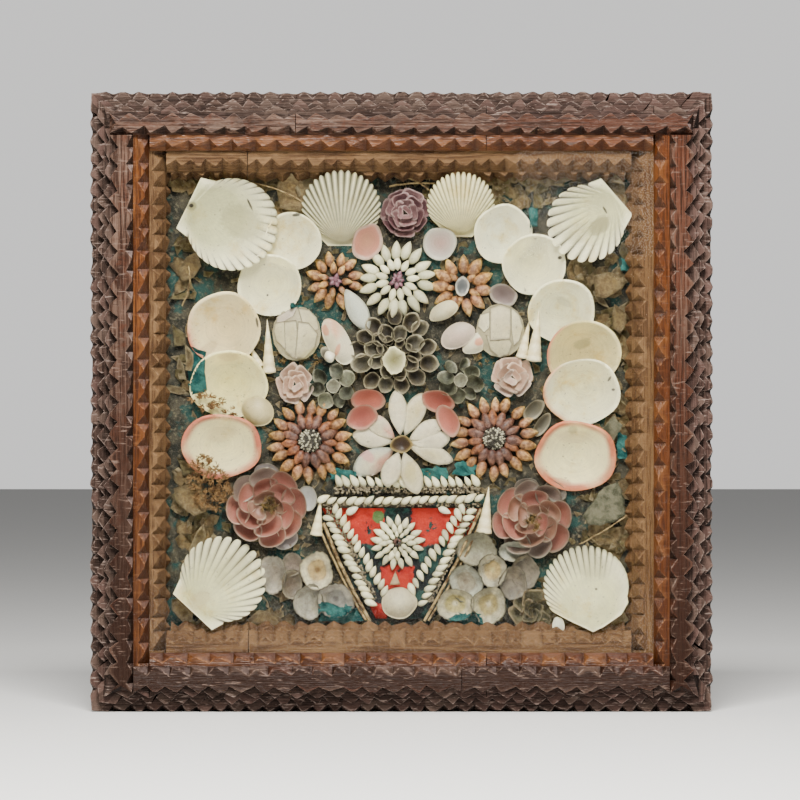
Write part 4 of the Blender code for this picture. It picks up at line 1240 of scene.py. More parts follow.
grey_cup = pattern_shell(
    cup(13.4, 5.4, 3, 1.14, 14, (0.050, 0.044, 0.030), (0.170, 0.155, 0.110), (0.58, 0.55, 0.42), 0.76))
dark_cup = pattern_shell(
    cup(12.4, 6.0, 7, 1.20, 14, (0.022, 0.017, 0.011), (0.105, 0.088, 0.058), (0.46, 0.42, 0.31), 0.78))
bunch("grey_cup_rings", -5.5, 265.7, "grey_shell", "flower_grey_cups",
    petal_ring(grey_cup, dark_cup, grey_finish, 13, 24.0, 3.6, -14, start=10, uneven=1.4, seed=61),
    petal_ring(dark_cup, grey_cup, grey_finish, 10, 14.0, 6.6, -12, start=30, size=0.90, uneven=1.6, seed=62),
    petal_ring(dark_cup, dark_cup, grey_finish, 7, 8.4, 8.6, -10, start=12, size=0.62, uneven=1.6, seed=63),
    middle(valve(20.5, 16.5, 3.4, ringed((0.26, 0.24, 0.10), (0.74, 0.71, 0.46), (0.86, 0.83, 0.60), 0.74),
            wall=0.9, rows=9, columns=26, ripple=0.02, uneven=0.05, seed=4, crimp=0.03),
        white_finish, 13.0, 0.0, -6.2, 88, 4))


# ---------------------------------------------------------------------------------------------------
# Long-petalled flower: ten long thin bivalves, backs out, round a dark limpet.
def long_valve(length, width, colour, wide_at=0.58, arch=0.16):
    """One long valve along X with its back to the front, from the flower's middle to its tip."""
    outline = []
    for n in range(28):
        turn = 2 * math.pi * n / 28
        share = 0.5 + 0.5 * math.cos(turn)
        swell = math.sin(
            math.pi * share ** (math.log(0.5) / math.log(wide_at))) ** 0.62 if 0 < share < 1 else 0.0
        outline.append(((share - 0.5) * length, math.copysign(0.5 * width * swell, math.sin(turn))))

    def height(x, y):
        return arch * width * (1 - (2 * y / width) ** 2) + 0.05 * length * (1 - (2 * x / length) ** 2)
    return plate(outline, height, colour, wall=0.6, rows=5, finer=1)


def blushed(middle_colour, rim_colour, blush, toward, wide):
    def colour(reach, share):
        own = mix(middle_colour, rim_colour, reach ** 2)
        away = abs((share - toward / 360.0 + 0.5) % 1.0 - 0.5) / wide
        return mix(own, blush, max(0.0, 1.0 - away) * min(1.0, 2.2 * reach) * 0.75)
    return colour


LONG_WHITE, LONG_RIM, BLUE_WHITE, BLUSH = (0.74, 0.68,
    0.53), (0.84, 0.80, 0.66), (0.62, 0.66, 0.62), (0.66, 0.26, 0.20)
long_centre = Vector((-0.1, 197.8))
long_petals = []
for number, (x, z, width, rise, blush_way) in enumerate(
        ((-35.4, 176.1, 19, 3.0, 120), (-36.2, 204.9, 15, 3.4, None), (-25.8, 218.5, 14, 5.4, 200),
            (38.3, 184.9, 13, 3.0, None), (35.8, 201.8, 15, 3.8, None), (30.3, 213.7, 14, 4.8, None),
            (15.9, 235.4, 15, 5.4, None), (-4.1, 237.6, 14, 6.2, None), (-11.5, 166.5, 15, 11.0, None),
            (12.0, 160.8, 16, 10.0, None))):
    reach_out = Vector((x, z)) - long_centre
    start = reach_out.normalized() * 6.0
    length = (reach_out - start).length
    spot = long_centre + (start + reach_out) / 2
    colour = (blushed(LONG_WHITE, BLUE_WHITE if number == 0 else LONG_RIM, BLUSH, blush_way, 0.22)
        if blush_way else ringed((0.80, 0.74, 0.60) if number % 3 else (0.70, 0.64, 0.42), LONG_RIM))
    mesh = long_valve(length, width, colour)
    long_petals.append(laid(mesh,
            seat(spot.x, spot.y, rise, math.degrees(math.atan2(reach_out.y, reach_out.x)), 8,
                math.degrees(math.atan2(reach_out.y, reach_out.x)) + 180),
            white_finish))
mesh = valve(16.5, 13.0, 3.4, ringed((0.030, 0.014, 0.008), (0.10, 0.060, 0.020), (0.46, 0.36, 0.16), 0.80),
    wall=1.0, rows=7, columns=24, ripple=0.0, uneven=0.03, seed=9)
long_petals.append(laid(mesh, seat(-0.1, 197.8, 11.5, 3, 6, 90), mauve_finish))
keep(join_pieces("long_petalled_flower", long_petals), "white_shell", "flower_long_petals")


# ---------------------------------------------------------------------------------------------------
# Roses and rosettes: cupped valves or broken curved shards stood on edge in closing rings. The big
# mauve pair have a tuft of dried moss in the middle.
def curved_shard(radial, tangential, bend, *tones):
    """A broken curved piece for the trees to copy, long across; its outer edge stands up when tilted."""
    corners = [2 * math.pi * (n + 0.5) / 14 for n in range(14)]
    outline = [(0.5 * radial * math.copysign(abs(math.cos(turn)) ** 0.35, math.cos(turn)),
        0.5 * tangential * math.copysign(abs(math.sin(turn)) ** 0.35, math.sin(turn))) for turn in corners]
    return pattern_shell(plate(outline, lambda x, y: bend * (2 * y / tangential) ** 2, ringed(*tones),
            wall=0.7, rows=3, finer=1))


def rose_valve(length, width, depth, seed, *tones):
    """A deep cupped valve of a big rose, wide across."""
    return valve(length, width, depth, ringed(*tones), wall=0.8, rows=6, columns=22, ripple=0.006,
        uneven=0.03, seed=seed)


pink_valve = pattern_shell(
    rose_valve(17.0, 23.5, 4.6, 2, (0.400, 0.150, 0.125), (0.470, 0.240, 0.200), (0.720, 0.600, 0.510), 0.84))
grey_valve = pattern_shell(
    rose_valve(16.0, 22.0, 4.6, 6, (0.200, 0.140, 0.125), (0.350, 0.270, 0.250), (0.640, 0.580, 0.510), 0.82))
tan_valve = pattern_shell(
    rose_valve(15.0, 21.0, 4.6, 8, (0.330, 0.170, 0.130), (0.430, 0.270, 0.210), (0.700, 0.590, 0.480), 0.84))
LILAC_BLUE, BLUE_GREY, SLATE = (((0.30, 0.26, 0.28), (0.42, 0.38, 0.40), (0.64, 0.60, 0.56)),
                                ((0.40, 0.40, 0.42), (0.54, 0.54, 0.53), (0.70, 0.68, 0.62)),
                                ((0.13, 0.11, 0.10), (0.24, 0.21, 0.19), (0.50, 0.46, 0.40)))
for side, x, z, turn, seed, odd_valves in (("left", -100.4, 151.0, 12, 71,
            ((0, 24, 90, LILAC_BLUE), (29, 6, 10, BLUE_GREY), (14, -23, -58, LILAC_BLUE))),
        ("right", 97.0, 142.0, 60, 81, ((-4, 22, 95, SLATE), (16, 19, 48, SLATE)))):
    bunch(f"rose_{side}_valves", x, z, "mauve_shell", f"rose_mauve_{side}",
        petal_ring(grey_valve, pink_valve, mauve_finish, 8, 22.0, 4.6, 10, 19, start=turn, size=1.05,
            uneven=0.8, seed=seed),
        petal_ring(pink_valve, tan_valve, mauve_finish, 6, 16.0, 9.0, 24, 20, start=turn + 31, uneven=0.7,
            seed=seed + 1),
        petal_ring(tan_valve, pink_valve, mauve_finish, 4, 9.4, 12.6, 40, 18, start=turn + 10, size=0.84,
            uneven=0.7, seed=seed + 2),
        *(middle(rose_valve(14.0, 19.0, 2.6, seed + 5, *tones, 0.84), mauve_finish, 1.8, 1.06 * px, 1.06 * py,
                way)
            for px, py, way, tones in odd_valves))
purple_shard = curved_shard(8.5, 15.5, 2.6, (0.27, 0.150, 0.170), (0.34, 0.200, 0.225), (0.46, 0.34, 0.35),
    0.78)
deep_shard = curved_shard(8.0, 13.5, 2.4, (0.13, 0.060, 0.076), (0.25, 0.130, 0.150), (0.40, 0.27, 0.29),
    0.80)
bunch("purple_rose_shards", 2.3, 369.0, "purple_shell", "rose_purple",
    petal_ring(deep_shard, purple_shard, purple_finish, 7, 14.6, 4.4, 34, start=12, size=1.05, uneven=0.9,
        seed=91),
    petal_ring(purple_shard, deep_shard, purple_finish, 6, 11.4, 7.2, 40, start=40, uneven=1.0, seed=92),
    petal_ring(purple_shard, purple_shard, purple_finish, 5, 7.4, 9.2, 42, start=8, size=0.82, uneven=1.2,
        seed=93),
    petal_ring(purple_shard, purple_shard, purple_finish, 3, 3.2, 10.4, 48, start=50, size=0.66, uneven=1.5,
        seed=94))
rose_shard = curved_shard(8.5, 15.0, 2.0, (0.56, 0.37, 0.29), (0.64, 0.45, 0.36), (0.72, 0.58, 0.48), 0.84)
lilac_shard = curved_shard(8.5, 13.0, 2.0, (0.50, 0.36, 0.32), (0.60, 0.48, 0.42), (0.70, 0.60, 0.54), 0.80)
pink_roses = []
for x, z, across, up, turn, seed in ((-79.0, 242.1, 1.0, 1.12, 45, 96), (82.1, 247.4, 1.16, 1.10, 20, 97)):
    bloom = join_pieces("bloom",
        [petal_ring(lilac_shard, rose_shard, white_finish, 5, 9.6, 4.6, 26, start=turn, uneven=0.9,
                seed=seed),
            petal_ring(rose_shard, rose_shard, white_finish, 4, 6.4, 7.4, 34, start=turn + 40, size=0.88,
                uneven=1.0, seed=seed + 10),
            petal_ring(rose_shard, lilac_shard, white_finish, 3, 3.0, 9.0, 40, start=turn, size=0.62,
                uneven=1.4, seed=seed + 20)])
    bloom.data.transform(seat(x, z) @ Matrix.Diagonal((across, up, 1.0, 1.0)))
    pink_roses.append(bloom)
keep(join_pieces("pale_roses", pink_roses), "mauve_shell")
crescent = pattern_shell(valve(13.5, 16.0, 4.6,
        ringed((0.15, 0.16, 0.115), (0.27, 0.28, 0.21), (0.50, 0.50, 0.40), 0.82), wall=0.7, rows=5,
        columns=16, ripple=0.0, uneven=0.04, seed=12))
dull_crescent = pattern_shell(valve(12.5, 15.0, 4.6,
        ringed((0.10, 0.11, 0.085), (0.21, 0.22, 0.17), (0.42, 0.42, 0.34), 0.82), wall=0.7, rows=5,
        columns=16, ripple=0.0, uneven=0.04, seed=15))
for side, x, z, count, turn, roll in (("left", -50.6, 240.6, 7, 20, -38), ("right", 43.9, 245.0, 8, 0, 40)):
    bunch(f"rosette_{side}", x, z, "grey_shell", "",
        petal_ring(crescent, dull_crescent, grey_finish, count, 11.6, 5.0, 10, roll, start=turn, size=0.95,
            uneven=1.3, seed=100 + count),
        middle(cup(10.5, 2.8, 4, 1.0, 16, (0.24, 0.24, 0.18), (0.34, 0.34, 0.27), (0.56, 0.56, 0.46), 0.80),
            grey_finish, 7.4))


# ---------------------------------------------------------------------------------------------------
# Buds: two white buds of overlapping curved plates cut from larger shells and pressed on a pad.
def bud_plate(outline, across, up, tall, lift, colour):
    """A plate of a bud: outline in the bud's own millimetres, curved over an oval dome."""
    middle_x = sum(x for x, y in outline) / len(outline)
    middle_y = sum(y for x, y in outline) / len(outline)

    def height(x, y):
        return tall * math.sqrt(
            max(0.04, 1 - ((x + middle_x) * 2 / across) ** 2 - ((y + middle_y) * 2 / up) ** 2)) + lift
    mesh = plate([(x - middle_x, y - middle_y) for x, y in outline], height, colour, wall=0.8, rows=6,
        finer=4)
    mesh.transform(Matrix.Translation((middle_x, middle_y, 0.0)))
    return mesh


BUD, BUD_EDGE, BUD_LILAC = (0.66, 0.61, 0.42), (0.80, 0.76, 0.58), (0.62, 0.54, 0.48)
bud_pieces = []
for x, z, across, up, plates in (
        (-77.9, 279.7, 39.0, 44.0, (
            (((-16, 2), (-15, 12), (-5, 18), (1, 20), (-2, 13), (-9, 9)), 0.2, BUD_LILAC),
            (((1, 19), (9, 18), (15, 12), (17, 3), (12, 0), (4, 8)), 0.0, BUD),
            (((-16, 8), (-9, 9), (-8, 0), (-8, -12), (-15, -6), (-17, 2)), 0.5, BUD),
            (((-9, 9), (0, 10), (1, 0), (-1, -19), (-8, -14), (-9, 0)), 1.0, BUD),
            (((1, 9), (9, 8), (16, 0), (14, -10), (6, -18), (-1, -19)), 1.5, (0.70, 0.65, 0.46)))),
        (73.4, 281.9, 39.0, 43.0, (
            (((-17, 3), (-15, 12), (-8, 14), (-8, 2), (-12, -2)), 0.0, BUD_EDGE),
            (((8, 18), (14, 12), (17, 2), (14, -8), (10, -12), (8, 0)), 0.2, BUD_EDGE),
            (((-11, -3), (-2, -8), (6, -4), (9, -10), (6, -18), (-1, -20), (-8, -14)), 0.6, BUD),
            (((-8, 17), (0, 20), (8, 17), (8, 0), (7, -7), (-8, -8), (-8, 4)), 1.4, (0.68, 0.62, 0.44))))):
    bud_pieces.append(laid(bud_plate(oval(across - 3, up - 3), across, up, 9.6, 0.0,
                ringed((0.58, 0.53, 0.37), (0.50, 0.46, 0.32))),
            seat(x, z, 1.3), white_finish))
    for outline, lift, colour in plates:
        mesh = bud_plate(outline, across, up, 10.0, 0.5 * lift, ringed(
            colour, mix(colour, (0.9, 0.88, 0.74), 0.2), (0.19, 0.16, 0.10), 0.93))
        bud_pieces.append(laid(mesh, seat(x, z, 1.5), white_finish))
keep(join_pieces("white_buds", bud_pieces), "white_shell")


# ---------------------------------------------------------------------------------------------------
# Small valves: tellins, clams and fragments tucked between the flowers, some pink inside, and one
# pair with orange rays.
small_pieces = []
ROSE, ROSE_RIM = (0.50, 0.150, 0.110), (0.70, 0.50, 0.40)
for number, (x, z, width, height, turn, tilt, toward, lift, deep, colour) in enumerate(
        ((-25.8, 348.3, 23, 28, -12, 16, 120, 5.0, 3.6,
                ringed((0.50, 0.25, 0.16), (0.60, 0.25, 0.20), (0.74, 0.60, 0.52), 0.80)),
            (28.7, 346.9, 25, 25, 0, 12, 60, 4.0, 3.0,
                ringed((0.50, 0.34, 0.31), (0.64, 0.63, 0.60), (0.86, 0.84, 0.76), 0.84)),
            (-107.4, 221.0, 25, 22, -30, 10, 60, 3.0, -6.0, ringed((0.74, 0.66, 0.42), (0.60, 0.52, 0.30))),
            (75.6, 309.2, 22, 16, -20, 16, 90, 2.0, 3.2,
                ringed((0.17, 0.12, 0.12), (0.34, 0.26, 0.26), (0.66, 0.60, 0.54), 0.80)),
            (-24.8, 231.6, 26, 18, -4, 24, 90, 4.0, 3.4, ringed(ROSE, (0.54, 0.18, 0.14), ROSE_RIM, 0.84)),
            (-29.2, 218.6, 24, 19, 28, 20, 90, 6.0, 3.4,
                ringed((0.40, 0.10, 0.080), (0.52, 0.18, 0.14), ROSE_RIM, 0.84)),
            (27.0, 230.6, 25, 18, -24, 24, 90, 4.0, 3.4, ringed((0.38, 0.10, 0.080), ROSE, ROSE_RIM, 0.84)),
            (35.0, 216.0, 26, 16, -66, 20, 60, 6.0, 3.4, ringed(ROSE, (0.58, 0.22, 0.17), ROSE_RIM, 0.82)),
            (55.0, 272.0, 22, 14, 30, 8, 60, 3.0, -3.2, ringed((0.80, 0.74, 0.60), (0.84, 0.80, 0.66))),
            (41.5, 277.6, 27, 18, 28, 8, 60, 4.6, -4.4, ringed((0.66, 0.53, 0.47), (0.74, 0.64, 0.56))),
            (-47.6, 273.1, 38, 18, -62, 8, 60, 3.6, -4.2,
                blushed((0.80, 0.74, 0.60), (0.84, 0.80, 0.66), (0.74, 0.34, 0.16), 150, 0.16)),
            (30.6, 295.2, 24, 13, 30, 20, 60, 4.6, -4.0, ringed((0.82, 0.78, 0.62), (0.74, 0.68, 0.48))),
            (98.0, 224.0, 20, 12, 50, 22, 100, 2.0, 3.6,
                ringed((0.13, 0.12, 0.09), (0.24, 0.22, 0.17), (0.56, 0.52, 0.42), 0.78)),
            (104.0, 213.5, 22, 10, 62, 30, 100, 2.0, 3.4,
                ringed((0.16, 0.15, 0.12), (0.30, 0.28, 0.22), (0.58, 0.54, 0.44), 0.78)),
            (116.2, 63.6, 12.5, 9, 95, 0, 0, 16.0, -1.6, ringed((0.72, 0.74, 0.68), (0.86, 0.84, 0.74))),
            (-55.4, 262.7, 12, 12, 0, 40, 250, 4.0, 4.2,
                ringed((0.06, 0.05, 0.04), (0.44, 0.41, 0.34), (0.74, 0.70, 0.58), 0.80)))):
    mesh = valve(width, height, deep, colour, wall=0.7, rows=8, columns=28, ripple=0.006, uneven=0.03,
        seed=200 + number)
    small_pieces.append(laid(mesh, settled(mesh, x, z, turn, tilt, toward, lift), mauve_finish))
mesh = long_valve(35.0, 15.5, ringed((0.66, 0.70, 0.66), (0.74, 0.76, 0.70)), 0.55, 0.22)
small_pieces.append(laid(mesh, settled(mesh, -33.2, 297.6, -62, 8, 90, 4.5), mauve_finish))
mesh = spindle(9.0, 9.0, along((0.50, 0.46, 0.36), (0.74, 0.70, 0.58), (0.66, 0.60, 0.48)), tip=0.9, rows=10,
    columns=14, thick=1.0)
small_pieces.append(laid(mesh, seat(-53.2, 262.4, 8.0, 20), white_finish))
keep(join_pieces("small_valves", small_pieces), "cream_shell")


# ---------------------------------------------------------------------------------------------------
# Cones: slim pointed turret shells laid point up beside the buds and the urn.
cone_pieces = []
for x, z, across, tall, turn, rise in ((-98.9, 270.1, 11.0, 41, 92, 8.0), (-108.9, 262.7, 9.0, 18, 112, 6.5),
                                       (92.2, 276.0, 9.5, 31, 78, 6.0), (100.0, 278.2, 12.5, 40, 84, 8.0),
                                       (-61.6, 143.5, 10.0, 29, 83, 6.0), (63.0, 148.4, 12.5, 36, 84, 6.5)):
    def cone_point(share, round_share, tall=tall, across=across):
        whorl = (share * 9.0) % 1.0
        body = (1.0 - share) ** 0.95 * min(1.0, 36.0 * share) ** 0.5 * (0.93 + 0.10 * whorl)
        swing = 2 * math.pi * round_share
        return ((share - 0.5) * tall, 0.5 * across * body * math.cos(swing),
            0.5 * across * body * math.sin(swing))
    mesh = skin_mesh(36, 16, cone_point, lambda share, round_share: mix(
        (0.60, 0.52, 0.32), (0.72, 0.66, 0.46), 0.5 + 0.5 * math.sin(28 * share)))
    cone_pieces.append(laid(mesh, seat(x, z, rise, turn), white_finish))
keep(join_pieces("turret_shells", cone_pieces), "cream_shell")


# ---------------------------------------------------------------------------------------------------
# Limpets: little round shells with banded insides, clustered on both sides of the urn's foot.
limpet_pieces = []
limpet_finish = shell_finish("limpet_shell", 0.42, growth=0.80, specks=0.60, stain=0.60, coat=0.08,
    relief=0.0010, mottle=0.28)
DUSKY = ringed((0.30, 0.26, 0.22), (0.34, 0.31, 0.26), (0.50, 0.46, 0.38), 0.84)


def banded(eye, inner, outer, rim):
    def colour(reach, share):
        own = mix(eye, inner, (reach - 0.08) * 7.0)
        own = mix(own, outer, (reach - 0.52) * 8.0)
        return mix(own, rim, (reach - 0.92) * 12.0)
    return colour


def rayed(colour, seed):
    """The same colour, darkened in uneven rays that widen toward the rim."""
    chances = random.Random(seed)
    rays = [chances.uniform(0.50, 1.05) for _ in range(17)]

    def rayed_colour(reach, share):
        spot = share * len(rays)
        ray = mix((rays[int(spot) % len(rays)],), (rays[int(spot + 1) % len(rays)],), spot % 1.0)[0]
        edge = 0.55 if reach > 0.97 else 1.0
        return tuple(
            edge * value * (1.0 - (1.0 - ray) * min(1.0, 1.6 * reach)) for value in colour(reach, share))
    return rayed_colour


for number, (x, z, across, up, lift, tilt, toward, colour) in enumerate(
        ((-94.4, 101.8, 20, 30, 3.0, 14, 45,
                ringed((0.34, 0.30, 0.26), (0.56, 0.53, 0.48), (0.62, 0.58, 0.50), 0.8)),
            (-80.8, 108.8, 16, 18, 3.0, 8, 60,
                ringed((0.28, 0.22, 0.19), (0.40, 0.35, 0.30), (0.54, 0.49, 0.42), 0.8)),
            (-82.3, 93.0, 17, 22, 4.0, 18, 200,
                ringed((0.16, 0.12, 0.09), (0.30, 0.26, 0.20), (0.54, 0.49, 0.38), 0.8)),
            (-62.4, 104.3, 26, 28, 6.5, 8, 60,
                banded((0.22, 0.13, 0.06), (0.60, 0.46, 0.24), (0.84, 0.80, 0.62), (0.50, 0.44, 0.36))),
            (-69.0, 81.2, 22, 28, 4.0, 10, 110,
                ringed((0.44, 0.43, 0.38), (0.66, 0.63, 0.54), (0.72, 0.70, 0.60), 0.86)),
            (-48.6, 82.7, 27, 27, 4.0, 12, 80,
                banded((0.16, 0.15, 0.15), (0.36, 0.35, 0.34), (0.70, 0.67, 0.62), (0.74, 0.72, 0.64))),
            (55.9, 121.0, 30, 26, 3.0, 12, 80,
                ringed((0.34, 0.33, 0.25), (0.60, 0.58, 0.46), (0.44, 0.42, 0.33), 0.9)),
            (83.0, 119.0, 22, 16, 3.0, 12, 90,
                ringed((0.44, 0.48, 0.44), (0.66, 0.67, 0.60), (0.74, 0.74, 0.66), 0.86)),
            (92.5, 103.3, 22, 25, 2.5, 12, 45, DUSKY), (83.5, 95.5, 22, 25, 5.0, 12, 60, DUSKY),
            (67.7, 104.3, 22, 26, 5.5, 8, 60,
                banded((0.62, 0.56, 0.30), (0.66, 0.52, 0.26), (0.66, 0.63, 0.50), (0.22, 0.19, 0.15))),
            (47.9, 95.7, 25, 28, 4.0, 10, 80,
                banded((0.26, 0.21, 0.16), (0.44, 0.40, 0.32), (0.60, 0.62, 0.55), (0.36, 0.35, 0.28))),
            (64.6, 79.0, 26, 29, 5.0, 10, 100,
                banded((0.72, 0.69, 0.55), (0.50, 0.42, 0.20), (0.74, 0.71, 0.54), (0.78, 0.76, 0.62))),
            (39.9, 79.5, 28, 25, 6.0, 10, 100,
                banded((0.82, 0.78, 0.60), (0.62, 0.54, 0.24), (0.84, 0.80, 0.62), (0.84, 0.82, 0.68))))):
    mesh = valve(across, up, 0.25 * across, rayed(colour, 400 + number), wall=0.9, rows=10, columns=40,
        ripple=0.012, uneven=0.05, seed=300 + number, crimp=0.022)
    limpet_pieces.append(laid(mesh, settled(mesh, x, z, 0, tilt, toward, lift), limpet_finish))
limpets = keep(join_pieces("limpets", limpet_pieces), "grey_shell")


# ---------------------------------------------------------------------------------------------------
# Urn: a red painted paper ground, edged by V-shaped double rows of small white shells with fine grey
# beads between them, and set with a rope of shells for its rim, a white daisy and a foot shell.
def draws(given, identity):
    """A tree's random floats: each step has its own, and the tree's Seed changes them all."""
    return lambda lowest, highest, step: chance(lowest, highest, identity, given["Seed"] + step)


def row_of_shells():
    tree, given = geometry_tree("shell_row", ("Sag", "Turn", "Size"), Int=("Count",), Vector=("Start", "End"),
                                Object=("First Shell", "Second Shell"))
    number = plug(tree, "GeometryNodeInputIndex")
    stray = draws(given, number)
    share = number / (given["Count"] - 1.0)
    spot = plug(tree, "ShaderNodeMix", {0: share, 4: given["Start"], 5: given["End"]}, 1, data_type="VECTOR")
    sag = share * (share - 1.0) * 4.0 * given["Sag"]
    shift = vector(tree, stray(-0.5, 0.5, 1.0), sag + stray(-0.6, 0.6, 2.0), stray(-0.3, 0.3, 3.0))
    points = plug(tree, "GeometryNodePoints",
        {"Count": given["Count"], "Position": vector_maths("ADD", spot, shift)})
    turn = vector(tree, stray(-0.3, 0.3, 4.0), stray(-0.12, 0.12, 5.0),
        given["Turn"] + stray(-0.13, 0.13, 6.0))
    return picked(tree, given, points, stray(0.0, 1.0, 7.0) > 0.6, turn,
        given["Size"] * stray(0.88, 1.12, 8.0), stray(-1.0, 1.0, 9.0))


def scattering():
    tree, given = geometry_tree("scatter", ("Density", "Tilt", "Smallest", "Largest", "Rise", "Depth"),
                                Object=("First Shell", "Second Shell"))
    points = plug(tree, "GeometryNodeDistributePointsOnFaces", {
        "Mesh": given["Geometry"], "Density": given["Density"], "Seed": given["Seed"]})
    number = plug(tree, "GeometryNodeInputIndex")
    stray = draws(given, number)
    lift = vector(tree, 0.0, 0.0, given["Rise"] + given["Depth"] * stray(0.0, 1.0, 1.0))
    points = plug(tree, "GeometryNodeSetPosition", {"Geometry": points, "Offset": lift})
    lean = vector(tree, given["Tilt"] * stray(-1.0, 1.0, 2.0), given["Tilt"] * stray(-1.0, 1.0, 3.0),
                  stray(0.0, 2 * math.pi, 4.0))
    size = stray(0.0, 1.0, 5.0) * (given["Largest"] - given["Smallest"]) + given["Smallest"]
    return picked(tree, given, points, stray(0.0, 1.0, 6.0) > 0.5, lean, size, stray(-1.0, 1.0, 7.0))


row_tree, scatter_tree = row_of_shells(), scattering()


def shell_row(start, end, count, turn, sag, size, seed, rise=7.2):
    """A row of rice shells from start to end, in millimetres from the middle line and up."""
    return grow(row_tree, {
        "First Shell": rice, "Second Shell": dull_rice, "Start": (*start, rise), "End": (*end, rise),
        "Sag": float(sag), "Count": count, "Turn": math.radians(turn), "Size": float(size), "Seed": seed,
        "Material": white_finish})


def region(*patches):
    """A flat mesh of patches, each an outline in millimetres from the middle line and up."""
    mesh = bmesh.new()
    for patch in patches:
        mesh.faces.new([mesh.verts.new((x, z, 0.0)) for x, z in patch])
    return finished("region", mesh)


def rectangle(left, bottom, right, top):
    return ((left, bottom), (right, bottom), (right, top), (left, top))


def strew(first, second, material, density, patches, tilt, smallest, largest, rise, depth, seed):
    """Scatter two kinds of small shape over patches of the board."""
    return grow(scatter_tree, {
        "First Shell": first, "Second Shell": second, "Density": float(density), "Tilt": float(tilt),
        "Smallest": smallest, "Largest": largest, "Rise": float(rise), "Depth": float(depth), "Seed": seed,
        "Material": material}, region(*patches))


rice = whole_shell(10.4, 5.3, (0.42, 0.41, 0.29), (0.62, 0.61, 0.45), (0.58, 0.56, 0.40), CREAM)
dull_rice = whole_shell(9.6, 4.8, (0.30, 0.29, 0.20), (0.52, 0.50, 0.36), WHITE)
red_paper, shader, place = finish_with("red_painted_paper", 0.6, 0.35)
side = axes_of(place)
brushed = noise(place, 140.0, 3.0, 0.6) * 0.010
height_here = side[2] + brushed
width_here = maths("ABSOLUTE", side[0] + 0.003) + brushed
shoulders = spread(width_here, 0.0135, 0.0150) * spread(height_here, 0.1270, 0.1290)
wedge = spread(width_here, 0.0185, 0.0170) * (
    spread(height_here, 0.1130, 0.1110) * spread(height_here, 0.0925, 0.0940))
foot_corner = spread(side[0], -0.010, -0.012) * spread(height_here, 0.0850, 0.0830)
painted_red = maths("MAXIMUM", maths("MAXIMUM", shoulders, wedge), foot_corner)
dark_paint = 1.0 - painted_red * spread(noise(place, 110.0, 4.0, 0.65), 0.66, 0.62)
greens = []
for green_x, green_z, reach in ((-0.0175, 0.1435, 0.0052), (0.031, 0.1263, 0.0042)):
    away = vector_maths("DISTANCE", place, (green_x, BOARD_FRONT - 4.5 * MM, green_z), "Value")
    greens.append(
        (spread(away + noise(place, 260.0) * 0.004, reach + 0.0018, reach + 0.0010), (0.125, 0.210, 0.060)))
red_colour = layered(
    blend(spread(noise(place, 90.0, 3.0, 0.6), 0.35, 0.65), (0.60, 0.038, 0.016), (0.46, 0.020, 0.010)),
    (dark_paint, blend(spread(noise(place, 120.0, 3.0, 0.6), 0.48, 0.60), (0.012, 0.016, 0.016),
                       (0.020, 0.075, 0.060))), *greens)
end_finish(shader, red_colour, noise(place, 260.0, 4.0, 0.6), 0.0008)
urn_ground = plate(((-19, -41), (19, -41), (39, 0), (59, 41), (0, 41), (-59, 41), (-39, 0)),
    lambda x, y: 0.6 * math.sin(0.12 * x) * math.cos(0.09 * y), lambda reach, share: (0.4, 0.04, 0.02),
    wall=1.0, rows=5, finer=6)
urn_ground = laid(urn_ground, seat(0, 109, 4.2), red_paper)
urn_ground.name = "urn_ground"
keep(urn_ground, "red_paper", "urn_panel")
bunch("urn_rim_rope", 0, 0, "white_shell", "urn_band",
    shell_row((-58, 156.5), (58, 158.0), 18, 33, 1.6, 1.0, 121, 8.0),
    shell_row((-47, 170.2), (55, 170.2), 18, 121, 0.8, 1.0, 122, 6.4))


def daisy_ring(*values, **shape):
    """A ring of the urn's daisy, set round its middle."""
    ring = petal_ring(*values, **shape)
    ring.data.transform(Matrix.Translation((-3.0, 124.7, 0.0)))
    return ring


rim_tip = along(WHITE, (0.7, 0.68, 0.56))
bunch("urn_shell_rows", 0, 0, "white_shell", "",
    shell_row((-54.5, 142.5), (-23.0, 80.2), 14, -17, 0, 1.0, 123),
    shell_row((-49.0, 150.2), (-12.2, 88.6), 14, 66, 0, 0.96, 124),
    shell_row((52.2, 148.2), (15.9, 80.2), 14, 18, 0, 1.0, 125),
    shell_row((45.4, 150.0), (7.7, 89.6), 13, -68, 0, 0.96, 126),
    *(daisy_ring(rice, dull_rice, white_finish, count, radius, rise, -12, start=seed, size=size, seed=seed)
        for count, radius, rise, size, seed in ((17, 15.8, 7.4, 1.0, 131), (13, 10.4, 9.0, 0.88, 132),
            (9, 6.3, 10.2, 0.64, 133))),
    middle(valve(26.5, 23.5, -6.0, ringed((0.74, 0.70, 0.55), (0.66, 0.60, 0.44)), wall=0.9, rows=8,
            columns=28, ripple=0.0, uneven=0.02, seed=5),
        white_finish, 12.6, -1.8, 79.6),
    middle(plate(((-4, -5), (4, -4.5), (0.4, 5.5)), lambda x, y: 1.5 - 0.02 * (x * x + y * y),
            lambda reach, share: (0.56, 0.44, 0.28), wall=0.8, rows=3, finer=3),
        white_finish, 9.0, -4.9, 98.0),
    middle(spindle(11.0, 6.0, rim_tip), white_finish, 7.0, -36.6, 148.2, 30),
    middle(spindle(10.5, 5.4, rim_tip), white_finish, 7.0, 32.0, 148.2, -24))
eye_bead = whole_shell(2.6, 2.6, (0.060, 0.026, 0.022), (0.150, 0.070, 0.055), **BEAD)
eye = daisy_ring(eye_bead, dark_bead, purple_finish, 11, 2.0, 11.2, 0, uneven=2.5, size=1.0, seed=141)
grey_bead = whole_shell(2.2, 2.2, (0.15, 0.125, 0.085), (0.26, 0.225, 0.160),
    **{**BEAD, "rows": 4, "columns": 5})
